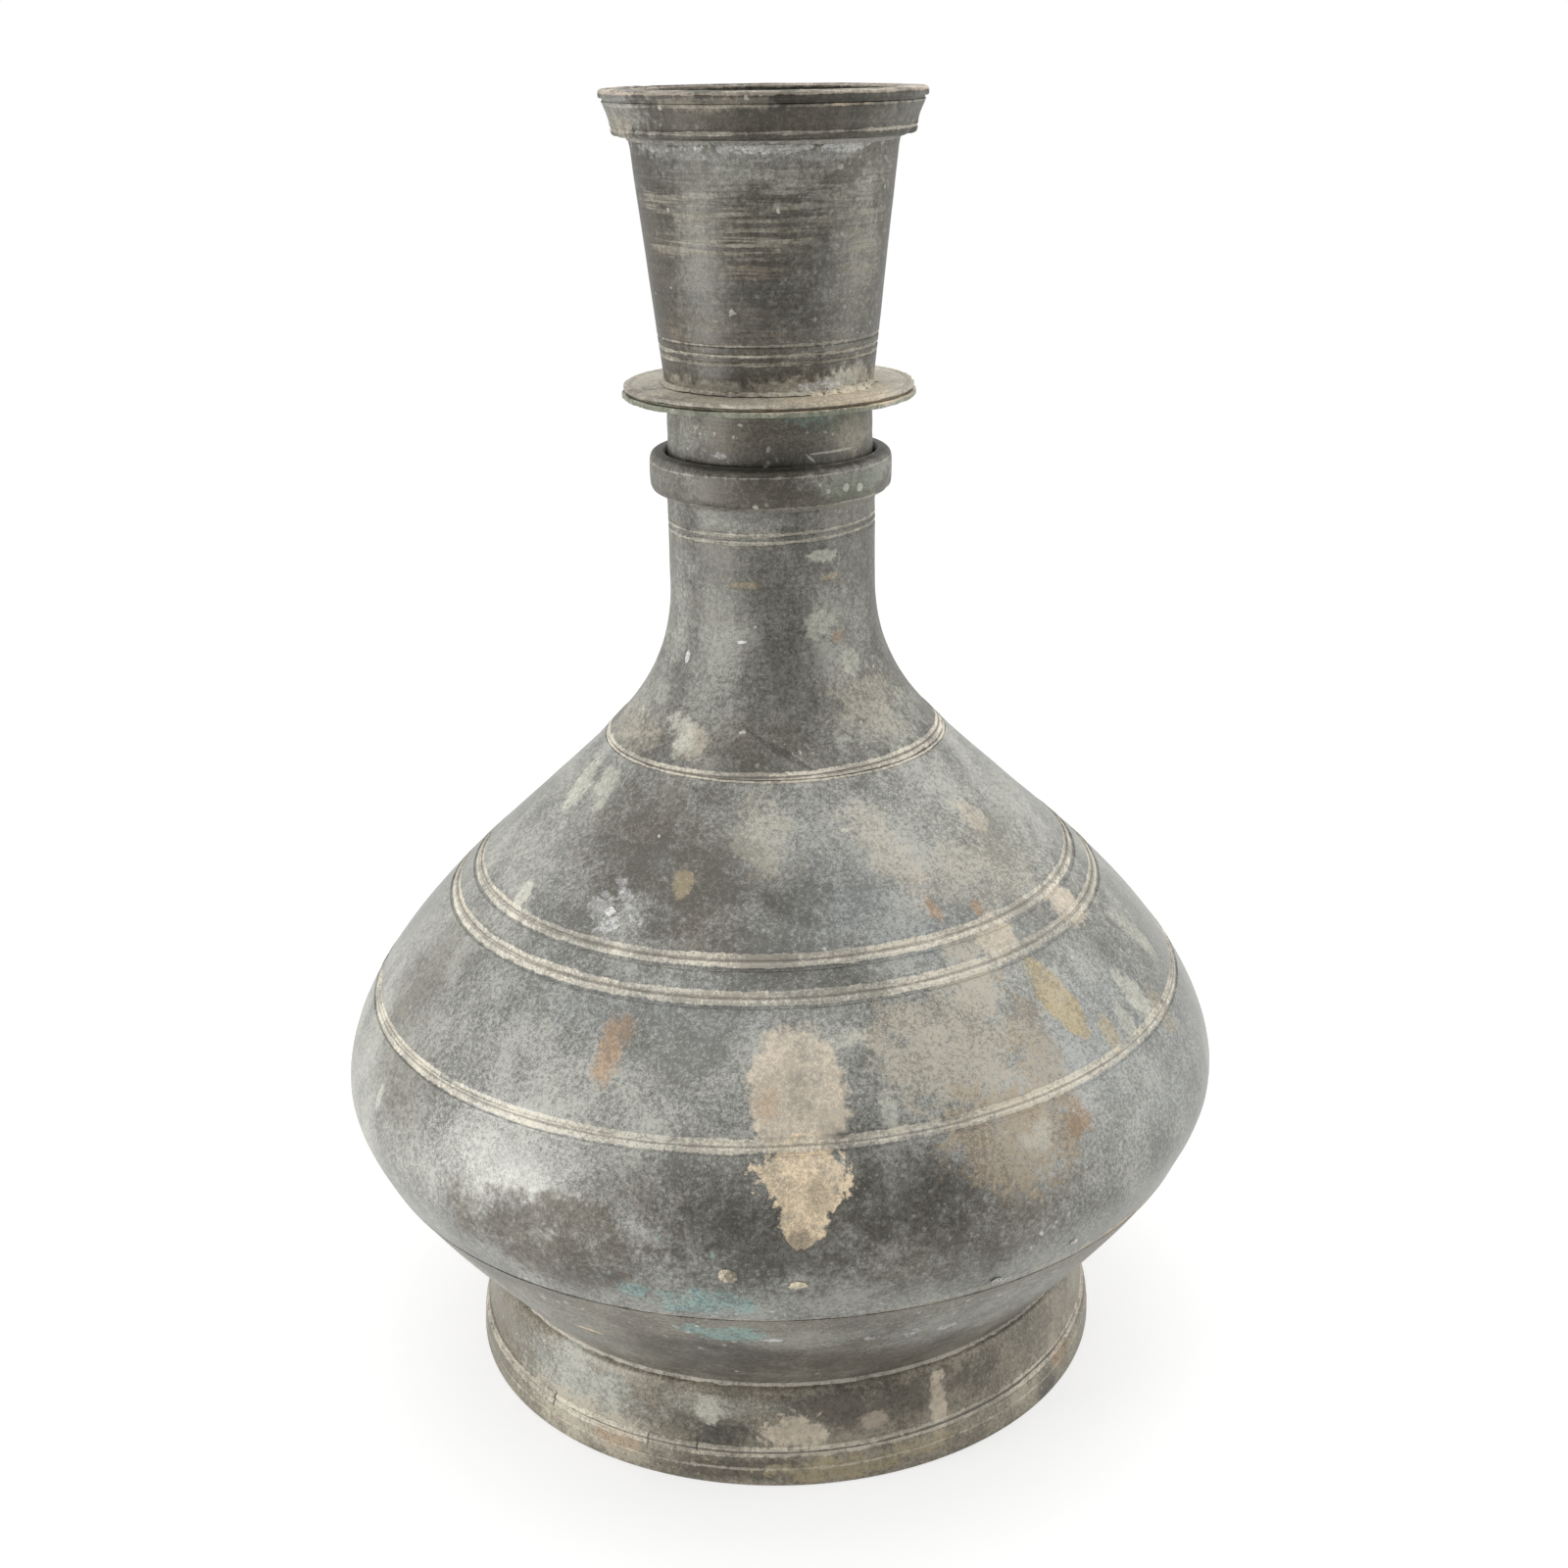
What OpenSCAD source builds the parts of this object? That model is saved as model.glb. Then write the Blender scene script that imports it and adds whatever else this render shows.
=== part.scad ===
// Bronze water bottle: a squat belly on a flared foot, a slim collared neck,
// and a loose funnel mouth that plugs into the collar.
// Millimetres, +Z up, origin at the centre of the face the foot stands on.
// Every piece is turned about the Z axis, so each is drawn as a half section.

/* [Foot] */
// How far the foot's waist stands out from the joint with the bowl
waist_out = 3.7; // [3:0.1:5]
// How far the foot flares below its waist
foot_flare = 2.8; // [1:0.1:6]
// Height of the joint between foot and bowl
foot_h = 27.5; // [24:0.5:32]
// Height of the upright edge at the bottom of the foot
foot_lip_h = 3; // [1:0.5:6]
// Thickness of the foot's wall at its waist
foot_wall = 2.4; // [1.6:0.2:4]
// Width of the seat that the bowl is soldered to
foot_seat_w = 5; // [4:0.5:8]
// Height of the scribed lines on the foot
foot_line_z = 9.6; // [7:0.2:14]

/* [Bowl] */
// Radius of the bowl at the foot joint
joint_r = 84.5; // [82:0.5:86]
// Height of the underside of the bowl's floor
floor_z = 14; // [9:0.5:18]
// Radius of the flat part of the floor
floor_r = 58; // [50:1:64]
// Lean of the bowl's wall at the foot joint, in degrees from upright
bowl_lean = 41.3; // [36:0.1:46]
// Thickness of the bowl
bowl_wall = 2.2; // [1.4:0.1:3.2]

/* [Belly] */
// Radius of the belly at its widest
belly_r = 123.2; // [117:0.2:130]
// Rise from the foot joint to the widest circle
bowl_rise = 59.6; // [54:0.2:66]
// Rise from the foot joint to the seam between bowl and belly
seam_rise = 40.9; // [34:0.2:48]
// Rise from the widest circle to the middle of the shoulder
shoulder_rise = 74.3; // [68:0.2:80]
// Radius at the middle of the shoulder
shoulder_r = 68.6; // [64:0.2:72]
// Lean of the shoulder's wall, in degrees from upright
shoulder_lean = 46.8; // [43:0.1:50]
// Thickness of the belly
belly_wall = 2; // [1.4:0.1:3]

/* [Scribed lines] */
// Rise from the widest circle to the low line pair
low_line_rise = 27.2; // [22:0.2:34]
// Rise from the widest circle to the middle line pair
middle_line_rise = 54.6; // [50:0.2:57]
// Rise from the widest circle to the high line pair
high_line_rise = 61.4; // [60:0.2:66]
// Distance between the two lines of a pair
line_pitch = 2; // [1.5:0.1:3]
// Width of a scribed line
line_w = 0.9; // [0.4:0.1:1.2]

/* [Neck] */
// Radius of the neck
neck_r = 27.7; // [26.8:0.1:28.4]
// Rise from the middle of the shoulder to the seam at the neck's root
neck_seam_rise = 20.6; // [14:0.2:26]
// Rise from the middle of the shoulder to where the neck runs straight
neck_rise = 62.4; // [58:0.2:68]
// Length of the straight neck, up to the seat inside the collar
neck_len = 28.7; // [24:0.1:36]
// Drop from the collar to the line pair on the neck
neck_line_drop = 8; // [4:0.2:16]
// Thickness of the neck
neck_wall = 2; // [1.4:0.1:2.4]

/* [Collar] */
// Radius of the collar
collar_r = 32.2; // [31:0.1:35]
// Height of the collar
collar_h = 10.5; // [9:0.1:14]
// Depth of the socket in the collar
socket_depth = 7.1; // [5:0.1:8]
// Radius of the collar's rounded shoulders
collar_round = 3.4; // [2:0.1:3.6]

/* [Plug] */
// Radius of the spigot that plugs into the collar
spigot_r = 27.1; // [26.6:0.1:27.6]
// Length of spigot that shows between collar and flange
spigot_show = 14; // [10:0.5:20]
// Length of the narrower tail inside the neck
tail_len = 16; // [10:0.5:22]
// Thickness of the spigot and its tail
spigot_wall = 2; // [1.4:0.1:2.6]
// Radial gap between spigot and socket
socket_gap = 0.3; // [0.3:0.05:0.5]
// Radial gap between tail and neck
tail_gap = 0.3; // [0.3:0.05:0.6]

/* [Flange] */
// Radius of the flange
flange_r = 38.5; // [35:0.1:42]
// Thickness of the lower flange plate
lower_plate_t = 1.7; // [1:0.1:2.4]
// Thickness of the upper flange plate
upper_plate_t = 1.5; // [1:0.1:2.4]
// Thickness of the solder between the flange plates
plate_solder_t = 0.4; // [0.2:0.1:0.8]
// How far that solder lies back from the flange's edge
plate_solder_in = 1.2; // [0.6:0.1:3]

/* [Funnel] */
// Height of the funnel above the flange
funnel_h = 72.8; // [60:0.5:90]
// Outer radius of the funnel's wall at the flange
funnel_foot_r = 27.4; // [27.2:0.1:28.6]
// Outer radius of the funnel's wall at the top
funnel_top_r = 35.6; // [33:0.1:37.4]
// Thickness of the funnel's wall
funnel_wall_t = 2; // [1.4:0.1:2.6]
// Height of the lowest of the lines round the funnel, above the flange
funnel_line_z = 8; // [5:0.2:14]

/* [Rim] */
// How far the rim stands out from the funnel's wall at the mouth
rim_out = 6; // [5:0.1:8]
// How far the rim's lower lip stands out from the funnel's wall
rim_low_out = 4.5; // [3.4:0.1:5]
// Height of the rim
rim_h = 11.6; // [9:0.2:16]
// Height of the bead round the mouth
bead_h = 2.6; // [1.6:0.1:4]
// Thickness of the rim over the end of the funnel's wall
rim_cap_t = 1.4; // [0.8:0.1:2.4]

/* [Joints] */
// Film of solder between lapped walls
film = 0.1; // [0.05:0.05:0.2]
// Length of a lap inside the next piece
lap_len = 7; // [4:0.5:10]
// Height of the set-in step below a lap
step_h = 2; // [1:0.5:3]
// Height of the open seam over a lapped edge
seam_h = 0.8; // [0.5:0.1:1.2]
// Depth of the seam's solder below the surface
seam_sink = 0.35; // [0.1:0.05:0.8]
// Leg of the solder fillets
fillet = 1.6; // [1:0.1:2]

/* [Hidden] */
$fn = 96;

// Steps along each curve of a section
STEPS = 18;
// Wider and taller than the whole bottle
FAR = 1000;

// Heights, stacked from the foot up
belly_z = foot_h + bowl_rise;
seam_z = foot_h + seam_rise;
shoulder_z = belly_z + shoulder_rise;
neck_seam_z = shoulder_z + neck_seam_rise;
neck_z = shoulder_z + neck_rise;
seat_z = neck_z + neck_len;
mouth_z = seat_z + socket_depth;
collar_z = mouth_z - collar_h;
flange_z = mouth_z + spigot_show;
plate_solder_z = flange_z + lower_plate_t;
upper_plate_z = plate_solder_z + plate_solder_t;
funnel_z = upper_plate_z + upper_plate_t;
top_z = funnel_z + funnel_h;
rim_z = top_z - rim_h;

// Radii that follow from others
waist_r = joint_r + waist_out;
foot_r = waist_r + foot_flare;
rim_r = funnel_top_r + rim_out;
rim_low_r = funnel_r(rim_z) + rim_low_out;
neck_bore_r = neck_r - neck_wall;
tail_r = neck_bore_r - tail_gap;
socket_r = spigot_r + socket_gap;

// How far each curve's handles reach, as a share of the rise they belong to
FLOOR_PULL = 0.33;
BOWL_PULL = [0.755, 0.168];
BELLY_PULL = [0.374, 0.202];
SHOULDER_PULL = [0.522, 0.436];
FOOT_PULL = 0.22;

// Heights within the foot, as shares of its height
FOOT_WAIST = 0.62;
FOOT_SEAT_LOW = 0.68;
FOOT_WALL_TOP = 0.45;

// Height of the rim's rounded lower lip, as a share of the rim's
RIM_LIP = 0.16;
// Where the rim ends under the bead, as a share of the way out from the lower lip
RIM_FLARE = 0.7;
// Lip of the collar's mouth, as a share of the collar's thickness
COLLAR_LIP = 0.25;
// How far the middle of a solder's hollow face stands out, as a share of its legs
HOLLOW = 0.3;
// How near to a solder's ends a point of its underside may lie, as a share of its legs
END_MARGIN = 0.2;
// Softened edge of a flange plate, as a share of its thickness
PLATE_EDGE = 0.3;

// Colours of the patina
GREY = "#6f6c64";
BROWN = "#5f5a50";
OLIVE = "#77725f";
CRUST = "#a49a86";
GREEN = "#6e7a68";

// ---- Curves ----

// A curve is [start, first handle, second handle, end].
function on_curve(c, t) =
    let (s = 1 - t)
    s * s * s * c[0] + 3 * s * s * t * c[1] + 3 * s * t * t * c[2] + t * t * t * c[3];

function along_curve(c, t) =
    let (s = 1 - t)
    s * s * (c[1] - c[0]) + 2 * s * t * (c[2] - c[1]) + t * t * (c[3] - c[2]);

// Points of a curve moved d to its left, which is into the metal
function curve_points(c, d = 0, from = 0) =
    [for (i = [from:STEPS])
        let (v = along_curve(c, i / STEPS))
        on_curve(c, i / STEPS) + d * [-v.y, v.x] / norm(v)];

// A direction that leans outwards by an angle from upright
function leaning(angle) = [sin(angle), cos(angle)];

function reversed(list) = [for (i = [len(list) - 1:-1:0]) list[i]];

// ---- Outline of the bottle ----

joint_at = [joint_r, foot_h];
widest_at = [belly_r, belly_z];
shoulder_at = [shoulder_r, shoulder_z];

floor_curve = [[floor_r, floor_z], [(floor_r + joint_r) / 2, floor_z],
               joint_at - FLOOR_PULL * foot_h * leaning(bowl_lean), joint_at];
bowl_curve = [joint_at, joint_at + BOWL_PULL[0] * bowl_rise * leaning(bowl_lean),
              widest_at - [0, BOWL_PULL[1] * bowl_rise], widest_at];
belly_curve = [widest_at, widest_at + [0, BELLY_PULL[0] * shoulder_rise],
               shoulder_at - BELLY_PULL[1] * shoulder_rise * leaning(-shoulder_lean),
               shoulder_at];
shoulder_curve = [shoulder_at,
                  shoulder_at + SHOULDER_PULL[0] * neck_rise * leaning(-shoulder_lean),
                  [neck_r, neck_z - SHOULDER_PULL[1] * neck_rise], [neck_r, neck_z]];

// The bottle's outline from the middle of its floor to the seat, moved d into the metal
function outline(d = 0) =
    concat([[0, floor_z + d]],
           curve_points(floor_curve, d),
           curve_points(bowl_curve, d, 1),
           curve_points(belly_curve, d, 1),
           curve_points(shoulder_curve, d, 1),
           [[neck_r - d, seat_z]]);

// Radius of the outline at a height above the foot joint
function outline_r(z) = lookup(z, [for (p = outline()) if (p.y >= foot_h) [p.y, p.x]]);

// What lies within the outline, grown by a film
module within_outline(grow = 0) {
    polygon(concat(outline(-grow), [[0, seat_z]]));
}

// The wall between two depths below the outline, from one height to another
module wall_band(z0, z1, depth0, depth1) {
    intersection() {
        polygon(concat(outline(depth0), reversed(outline(depth1))));
        translate([0, z0]) square([FAR, z1 - z0]);
    }
}

// A wall's upper edge set in under the next wall and lapped inside it
module lapped_edge(z, wall, outer_wall) {
    inner = outer_wall + film;
    wall_band(z - step_h, z, 0, inner + wall);
    wall_band(z - step_h, z + lap_len, inner, inner + wall);
}

// Two scribed lines across the outline, centred at a height
module line_pair(z) {
    for (side = [-1, 1]) {
        line_z = z + side * line_pitch / 2;
        translate([outline_r(line_z), line_z]) circle(d = line_w);
    }
}

// ---- Outline of the funnel ----

function funnel_r(z) = funnel_foot_r + (funnel_top_r - funnel_foot_r) * (z - funnel_z) / funnel_h;

// What lies within the funnel's outer cone, grown by a film
module within_funnel(grow = 0) {
    polygon([[0, funnel_z], [funnel_foot_r + grow, funnel_z],
             [funnel_top_r + grow, top_z], [0, top_z]]);
}

// A hollow-faced fillet between an upright wall of radius r and a level face at z
module solder_fillet(r, z, up = 1) {
    polygon([[r, z], [r + fillet, z], [r + HOLLOW * fillet, z + HOLLOW * up * fillet],
             [r, z + up * fillet]]);
}

// ---- Pieces of the bottle ----

lip_at = [foot_r, foot_lip_h];
waist_at = [waist_r, FOOT_WAIST * foot_h];
foot_pull = [0, FOOT_PULL * foot_h];

foot_flare_curve = [lip_at, lip_at + foot_pull, waist_at - foot_pull, waist_at];
foot_top_curve = [waist_at, waist_at + foot_pull, [waist_r, foot_h], joint_at - [film, 0]];

module foot_section() {
    inner_r = waist_r - foot_wall;
    seat_r = joint_r - foot_seat_w;
    difference() {
        polygon(concat(
            [[foot_r, 0]],
            curve_points(foot_flare_curve),
            curve_points(foot_top_curve, 0, 1),
            [[seat_r, foot_h], [seat_r, FOOT_SEAT_LOW * foot_h],
             [inner_r, FOOT_WALL_TOP * foot_h], [inner_r, 0]]));
        within_outline(film);
        for (side = [-1, 1]) {
            line_z = foot_line_z + side * line_pitch / 2;
            translate([lookup(line_z, [[foot_lip_h, foot_r], [waist_at.y, waist_r]]), line_z])
                circle(d = line_w);
        }
    }
}

module foot_ring() {
    color(OLIVE) rotate_extrude() foot_section();
}

// Solder a film above the foot's rounded top, with its head against the bowl
module foot_solder() {
    top = [for (p = curve_points(foot_top_curve)) p + [0, film]];
    toe_r = joint_r + fillet;
    margin = END_MARGIN * fillet;
    toe = [toe_r, lookup(toe_r, [for (p = reversed(top)) [p.x, p.y]])];
    root_z = foot_h + film;
    head_z = foot_h + fillet * cos(bowl_lean);
    root = [outline_r(root_z), root_z];
    head = [outline_r(head_z), head_z];
    middle = joint_at + HOLLOW * (toe + head - 2 * joint_at);
    under = [for (p = top) if (p.x > joint_r + margin && p.x < toe_r - margin) p];
    color(CRUST) rotate_extrude() polygon(concat([toe], under, [root, head, middle]));
}

module bottom_bowl() {
    color(BROWN) rotate_extrude() {
        wall_band(0, seam_z, 0, bowl_wall);
        lapped_edge(seam_z, bowl_wall, belly_wall);
    }
}

module belly_seam_solder() {
    color(CRUST) rotate_extrude() wall_band(seam_z, seam_z + seam_h, seam_sink, belly_wall);
}

module belly_shell() {
    color(GREY) rotate_extrude() difference() {
        union() {
            wall_band(seam_z + seam_h, neck_seam_z, 0, belly_wall);
            lapped_edge(neck_seam_z, belly_wall, neck_wall);
        }
        line_pair(belly_z + low_line_rise);
        line_pair(belly_z + middle_line_rise);
        line_pair(belly_z + high_line_rise);
    }
}

module neck_seam_solder() {
    color(CRUST) rotate_extrude()
        wall_band(neck_seam_z, neck_seam_z + seam_h, seam_sink, neck_wall);
}

module neck_tube() {
    color(BROWN) rotate_extrude() difference() {
        wall_band(neck_seam_z + seam_h, seat_z, 0, neck_wall);
        line_pair(collar_z - neck_line_drop);
    }
}

module collar_section() {
    sleeve_r = neck_r + film;
    low_z = collar_z + collar_round;
    high_z = mouth_z - collar_round;
    lip = COLLAR_LIP * (collar_r - socket_r);
    polygon(concat(
        [[sleeve_r, collar_z]],
        curve_points([[collar_r - collar_round / 2, collar_z],
                      [collar_r - collar_round / 4, collar_z + collar_round / 2],
                      [collar_r, low_z - collar_round / 4], [collar_r, low_z]]),
        curve_points([[collar_r, high_z], [collar_r, high_z + collar_round / 2],
                      [collar_r - collar_round / 2, mouth_z],
                      [collar_r - 0.8 * collar_round, mouth_z]]),
        [[socket_r + lip, mouth_z], [socket_r, mouth_z - lip],
         [socket_r, seat_z], [sleeve_r, seat_z]]));
}

module neck_collar() {
    color(GREY) rotate_extrude() collar_section();
}

module collar_solder() {
    color(CRUST) rotate_extrude() solder_fillet(neck_r, collar_z, -1);
}

// ---- Pieces of the funnel ----

module spigot_tube() {
    bore_r = spigot_r - spigot_wall;
    tail_bore_r = tail_r - spigot_wall;
    tail_z = seat_z - tail_len;
    color(BROWN) rotate_extrude()
        polygon([[tail_bore_r, tail_z], [tail_r, tail_z], [tail_r, seat_z],
                 [spigot_r, seat_z], [spigot_r, funnel_z], [bore_r, funnel_z],
                 [bore_r, seat_z + spigot_wall], [tail_bore_r, seat_z + spigot_wall]]);
}

module spigot_solder() {
    color(GREEN) rotate_extrude() solder_fillet(spigot_r, flange_z, -1);
}

// A flat ring on the spigot with softened edges
module flange_plate(z, thick) {
    edge = PLATE_EDGE * thick;
    rotate_extrude()
        polygon([[spigot_r + film, z], [flange_r - edge, z], [flange_r, z + edge],
                 [flange_r, z + thick - edge], [flange_r - edge, z + thick],
                 [spigot_r + film, z + thick]]);
}

module lower_flange_plate() {
    color(GREEN) flange_plate(flange_z, lower_plate_t);
}

module flange_solder() {
    color(CRUST) rotate_extrude()
        translate([spigot_r + film, plate_solder_z])
            square([flange_r - plate_solder_in - spigot_r - film, plate_solder_t]);
}

module upper_flange_plate() {
    color(OLIVE) flange_plate(upper_plate_z, upper_plate_t);
}

module funnel_solder() {
    color(CRUST) rotate_extrude() difference() {
        solder_fillet(funnel_foot_r, funnel_z);
        within_funnel();
    }
}

module funnel_wall() {
    wall_top_z = top_z - rim_cap_t;
    color(GREY) rotate_extrude() difference() {
        polygon([[funnel_foot_r - funnel_wall_t, funnel_z], [funnel_foot_r, funnel_z],
                 [funnel_r(wall_top_z), wall_top_z],
                 [funnel_r(wall_top_z) - funnel_wall_t, wall_top_z]]);
        for (i = [0:2]) {
            line_z = funnel_z + funnel_line_z + i * line_pitch;
            translate([funnel_r(line_z), line_z]) circle(d = line_w);
        }
    }
}

module rim_section() {
    inner_r = funnel_r(top_z - rim_cap_t) - funnel_wall_t;
    lip = RIM_LIP * rim_h;
    edge = bead_h / 3;
    bead_z = top_z - bead_h;
    under_bead_r = rim_low_r + RIM_FLARE * (rim_r - rim_low_r);
    difference() {
        polygon(concat(
            [[inner_r, rim_z + lip / 2]],
            curve_points([[rim_low_r - lip, rim_z], [rim_low_r - lip / 3, rim_z],
                          [rim_low_r, rim_z + lip / 3], [rim_low_r, rim_z + lip]]),
            curve_points([[rim_low_r, rim_z + lip], [rim_low_r, rim_z + 2.5 * lip],
                          [under_bead_r - edge / 2, bead_z - lip], [under_bead_r, bead_z]], 0, 1),
            curve_points([[under_bead_r + edge / 2, bead_z], [rim_r, bead_z],
                          [rim_r, bead_z + edge], [rim_r, top_z - edge]]),
            [[rim_r - edge, top_z], [inner_r, top_z]]));
        intersection() {
            within_funnel(film);
            square([FAR, top_z - rim_cap_t]);
        }
    }
}

module funnel_rim() {
    color(GREY) rotate_extrude() rim_section();
}

module rim_solder() {
    color(CRUST) rotate_extrude() difference() {
        translate([funnel_r(rim_z) - fillet, rim_z - fillet / 2]) square([2 * fillet, fillet]);
        within_funnel();
        rim_section();
        translate([funnel_r(rim_z) + 1.1 * fillet, rim_z - 0.6 * fillet]) circle(r = fillet);
    }
}

foot_ring();
foot_solder();
bottom_bowl();
belly_seam_solder();
belly_shell();
neck_seam_solder();
neck_tube();
collar_solder();
neck_collar();
spigot_tube();
spigot_solder();
lower_flange_plate();
flange_solder();
upper_flange_plate();
funnel_solder();
funnel_wall();
rim_solder();
funnel_rim();
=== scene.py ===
"""Dresses a bronze water bottle: turned metal pieces, a worn and crusted patina, and a plain pale stage."""

import functools
import math
import random
from collections import namedtuple

import bpy
import numpy as np
from mathutils import Euler, Matrix, Vector


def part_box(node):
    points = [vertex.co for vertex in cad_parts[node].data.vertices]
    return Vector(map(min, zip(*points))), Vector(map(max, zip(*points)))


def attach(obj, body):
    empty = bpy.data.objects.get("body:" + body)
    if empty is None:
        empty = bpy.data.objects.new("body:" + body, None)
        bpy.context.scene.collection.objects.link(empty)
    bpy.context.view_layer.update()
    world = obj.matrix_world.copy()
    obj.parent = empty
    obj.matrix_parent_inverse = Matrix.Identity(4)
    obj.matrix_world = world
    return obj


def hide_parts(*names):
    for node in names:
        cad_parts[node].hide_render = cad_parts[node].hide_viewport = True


bl_info = {
    "name": "Bronze water bottle",
    "version": (1, 0, 0),
    "blender": (4, 5, 0),
    "location": "3D View > Sidebar > Bottle",
    "description": "Models the turned pieces of a bronze bottle and its patina around the loaded frame",
    "category": "Object",
}

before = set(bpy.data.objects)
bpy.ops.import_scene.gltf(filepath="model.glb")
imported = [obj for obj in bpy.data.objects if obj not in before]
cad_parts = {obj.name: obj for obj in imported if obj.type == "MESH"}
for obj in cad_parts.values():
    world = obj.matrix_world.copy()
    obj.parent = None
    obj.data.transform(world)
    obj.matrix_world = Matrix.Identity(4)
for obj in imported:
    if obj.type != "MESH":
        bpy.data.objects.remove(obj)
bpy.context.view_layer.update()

MM = 0.001
# Segments round every turned piece
TURN_STEPS = 288


@functools.cache
def corners(node):
    """Lowest and highest corner of a frame node's box."""
    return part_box(node)


def low(node):
    """Lowest height of a frame node."""
    return corners(node)[0].z


def high(node):
    """Highest height of a frame node."""
    return corners(node)[1].z


def reach(node):
    """Largest radius of a frame node."""
    return corners(node)[1].x


# ---- Sizes and colours that a user may change ----


def length(label, description, default):
    return bpy.props.FloatProperty(
        name=label, description=description, default=default, min=0.0, unit="LENGTH", precision=5
    )


def share(label, description, default):
    return bpy.props.FloatProperty(
        name=label, description=description, default=default, min=0.0, max=4.0, subtype="FACTOR"
    )


def angle(label, description, degrees):
    return bpy.props.FloatProperty(
        name=label, description=description, default=math.radians(degrees), subtype="ANGLE"
    )


def tone(label, description, red, green, blue):
    return bpy.props.FloatVectorProperty(
        name=label, description=description, default=(red, green, blue),
        min=0.0, max=1.0, size=3, subtype="COLOR",
    )


class BottleSizes(bpy.types.PropertyGroup):
    """Shape of the bottle's outline and walls, as in the frame."""

    floor_radius: length("Floor", "Radius of the flat floor", 58 * MM)
    joint_radius: length("Foot joint", "Radius where the bowl sits in the foot", 84.5 * MM)
    joint_height: length("Foot height", "Height where the bowl sits in the foot", 27.5 * MM)
    waist_radius: length("Foot waist", "Radius of the foot at its waist", 88.2 * MM)
    widest_height: length("Belly height", "Height of the widest circle", 87.1 * MM)
    shoulder_radius: length("Shoulder", "Radius at the middle of the shoulder", 68.6 * MM)
    shoulder_height: length("Shoulder height", "Height of that circle", 161.4 * MM)
    neck_radius: length("Neck", "Radius of the straight neck", 27.7 * MM)
    neck_height: length("Neck height", "Height where the neck runs straight", 223.8 * MM)
    socket_height: length("Socket floor", "Height of the seat inside the collar", 252.5 * MM)
    bowl_lean: angle("Bowl lean", "Lean of the bowl's wall at the foot", 41.3)
    shoulder_lean: angle("Shoulder lean", "Lean of the shoulder's wall", 46.8)
    wall: length("Wall", "Thickness of the metal", 2 * MM)
    line_width: length("Line width", "Width of a scribed line", 0.9 * MM)
    line_depth: length("Line depth", "Depth of a scribed line", 0.4 * MM)
    funnel_foot: length("Funnel foot", "Outer radius of the funnel at its foot", 27.4 * MM)
    funnel_top: length("Funnel top", "Outer radius of the funnel at the mouth", 35.6 * MM)


class PatinaLook(bpy.types.PropertyGroup):
    """Colours and strength of the patina."""

    wear: share("Bare metal", "How much metal shines through the patina", 0.30)
    grain: share("Grain", "Strength of the fine mottling", 1.0)
    relief: share("Relief", "Strength of the fine relief", 1.0)
    deposit: tone("Deposit", "Lime in the scribed lines and seams", 0.72, 0.67, 0.565)


def sizes():
    return bpy.context.scene.bottle_sizes


def look():
    return bpy.context.scene.bottle_patina


# ---- Outline of the bottle ----


def bezier(points, steps):
    """Points along a cubic curve, and its directions there."""
    a, b, c, d = (np.array(p, float) for p in points)
    t = np.linspace(0, 1, steps + 1)[:, None]
    s = 1 - t
    place = s**3 * a + 3 * s * s * t * b + 3 * s * t * t * c + t**3 * d
    way = s * s * (b - a) + 2 * s * t * (c - b) + t * t * (d - c)
    return place, way


def leaning(turn):
    return np.array([math.sin(turn), math.cos(turn)])


def groove(reach, flank, floor, burr):
    """A scribed line's profile: places across it in line widths, with their shares of its depth."""
    sides = ((-reach, -burr), (-flank, 0.1), (-floor, 0.9))
    return sides + tuple((-across, dip) for across, dip in reversed(sides))


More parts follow.
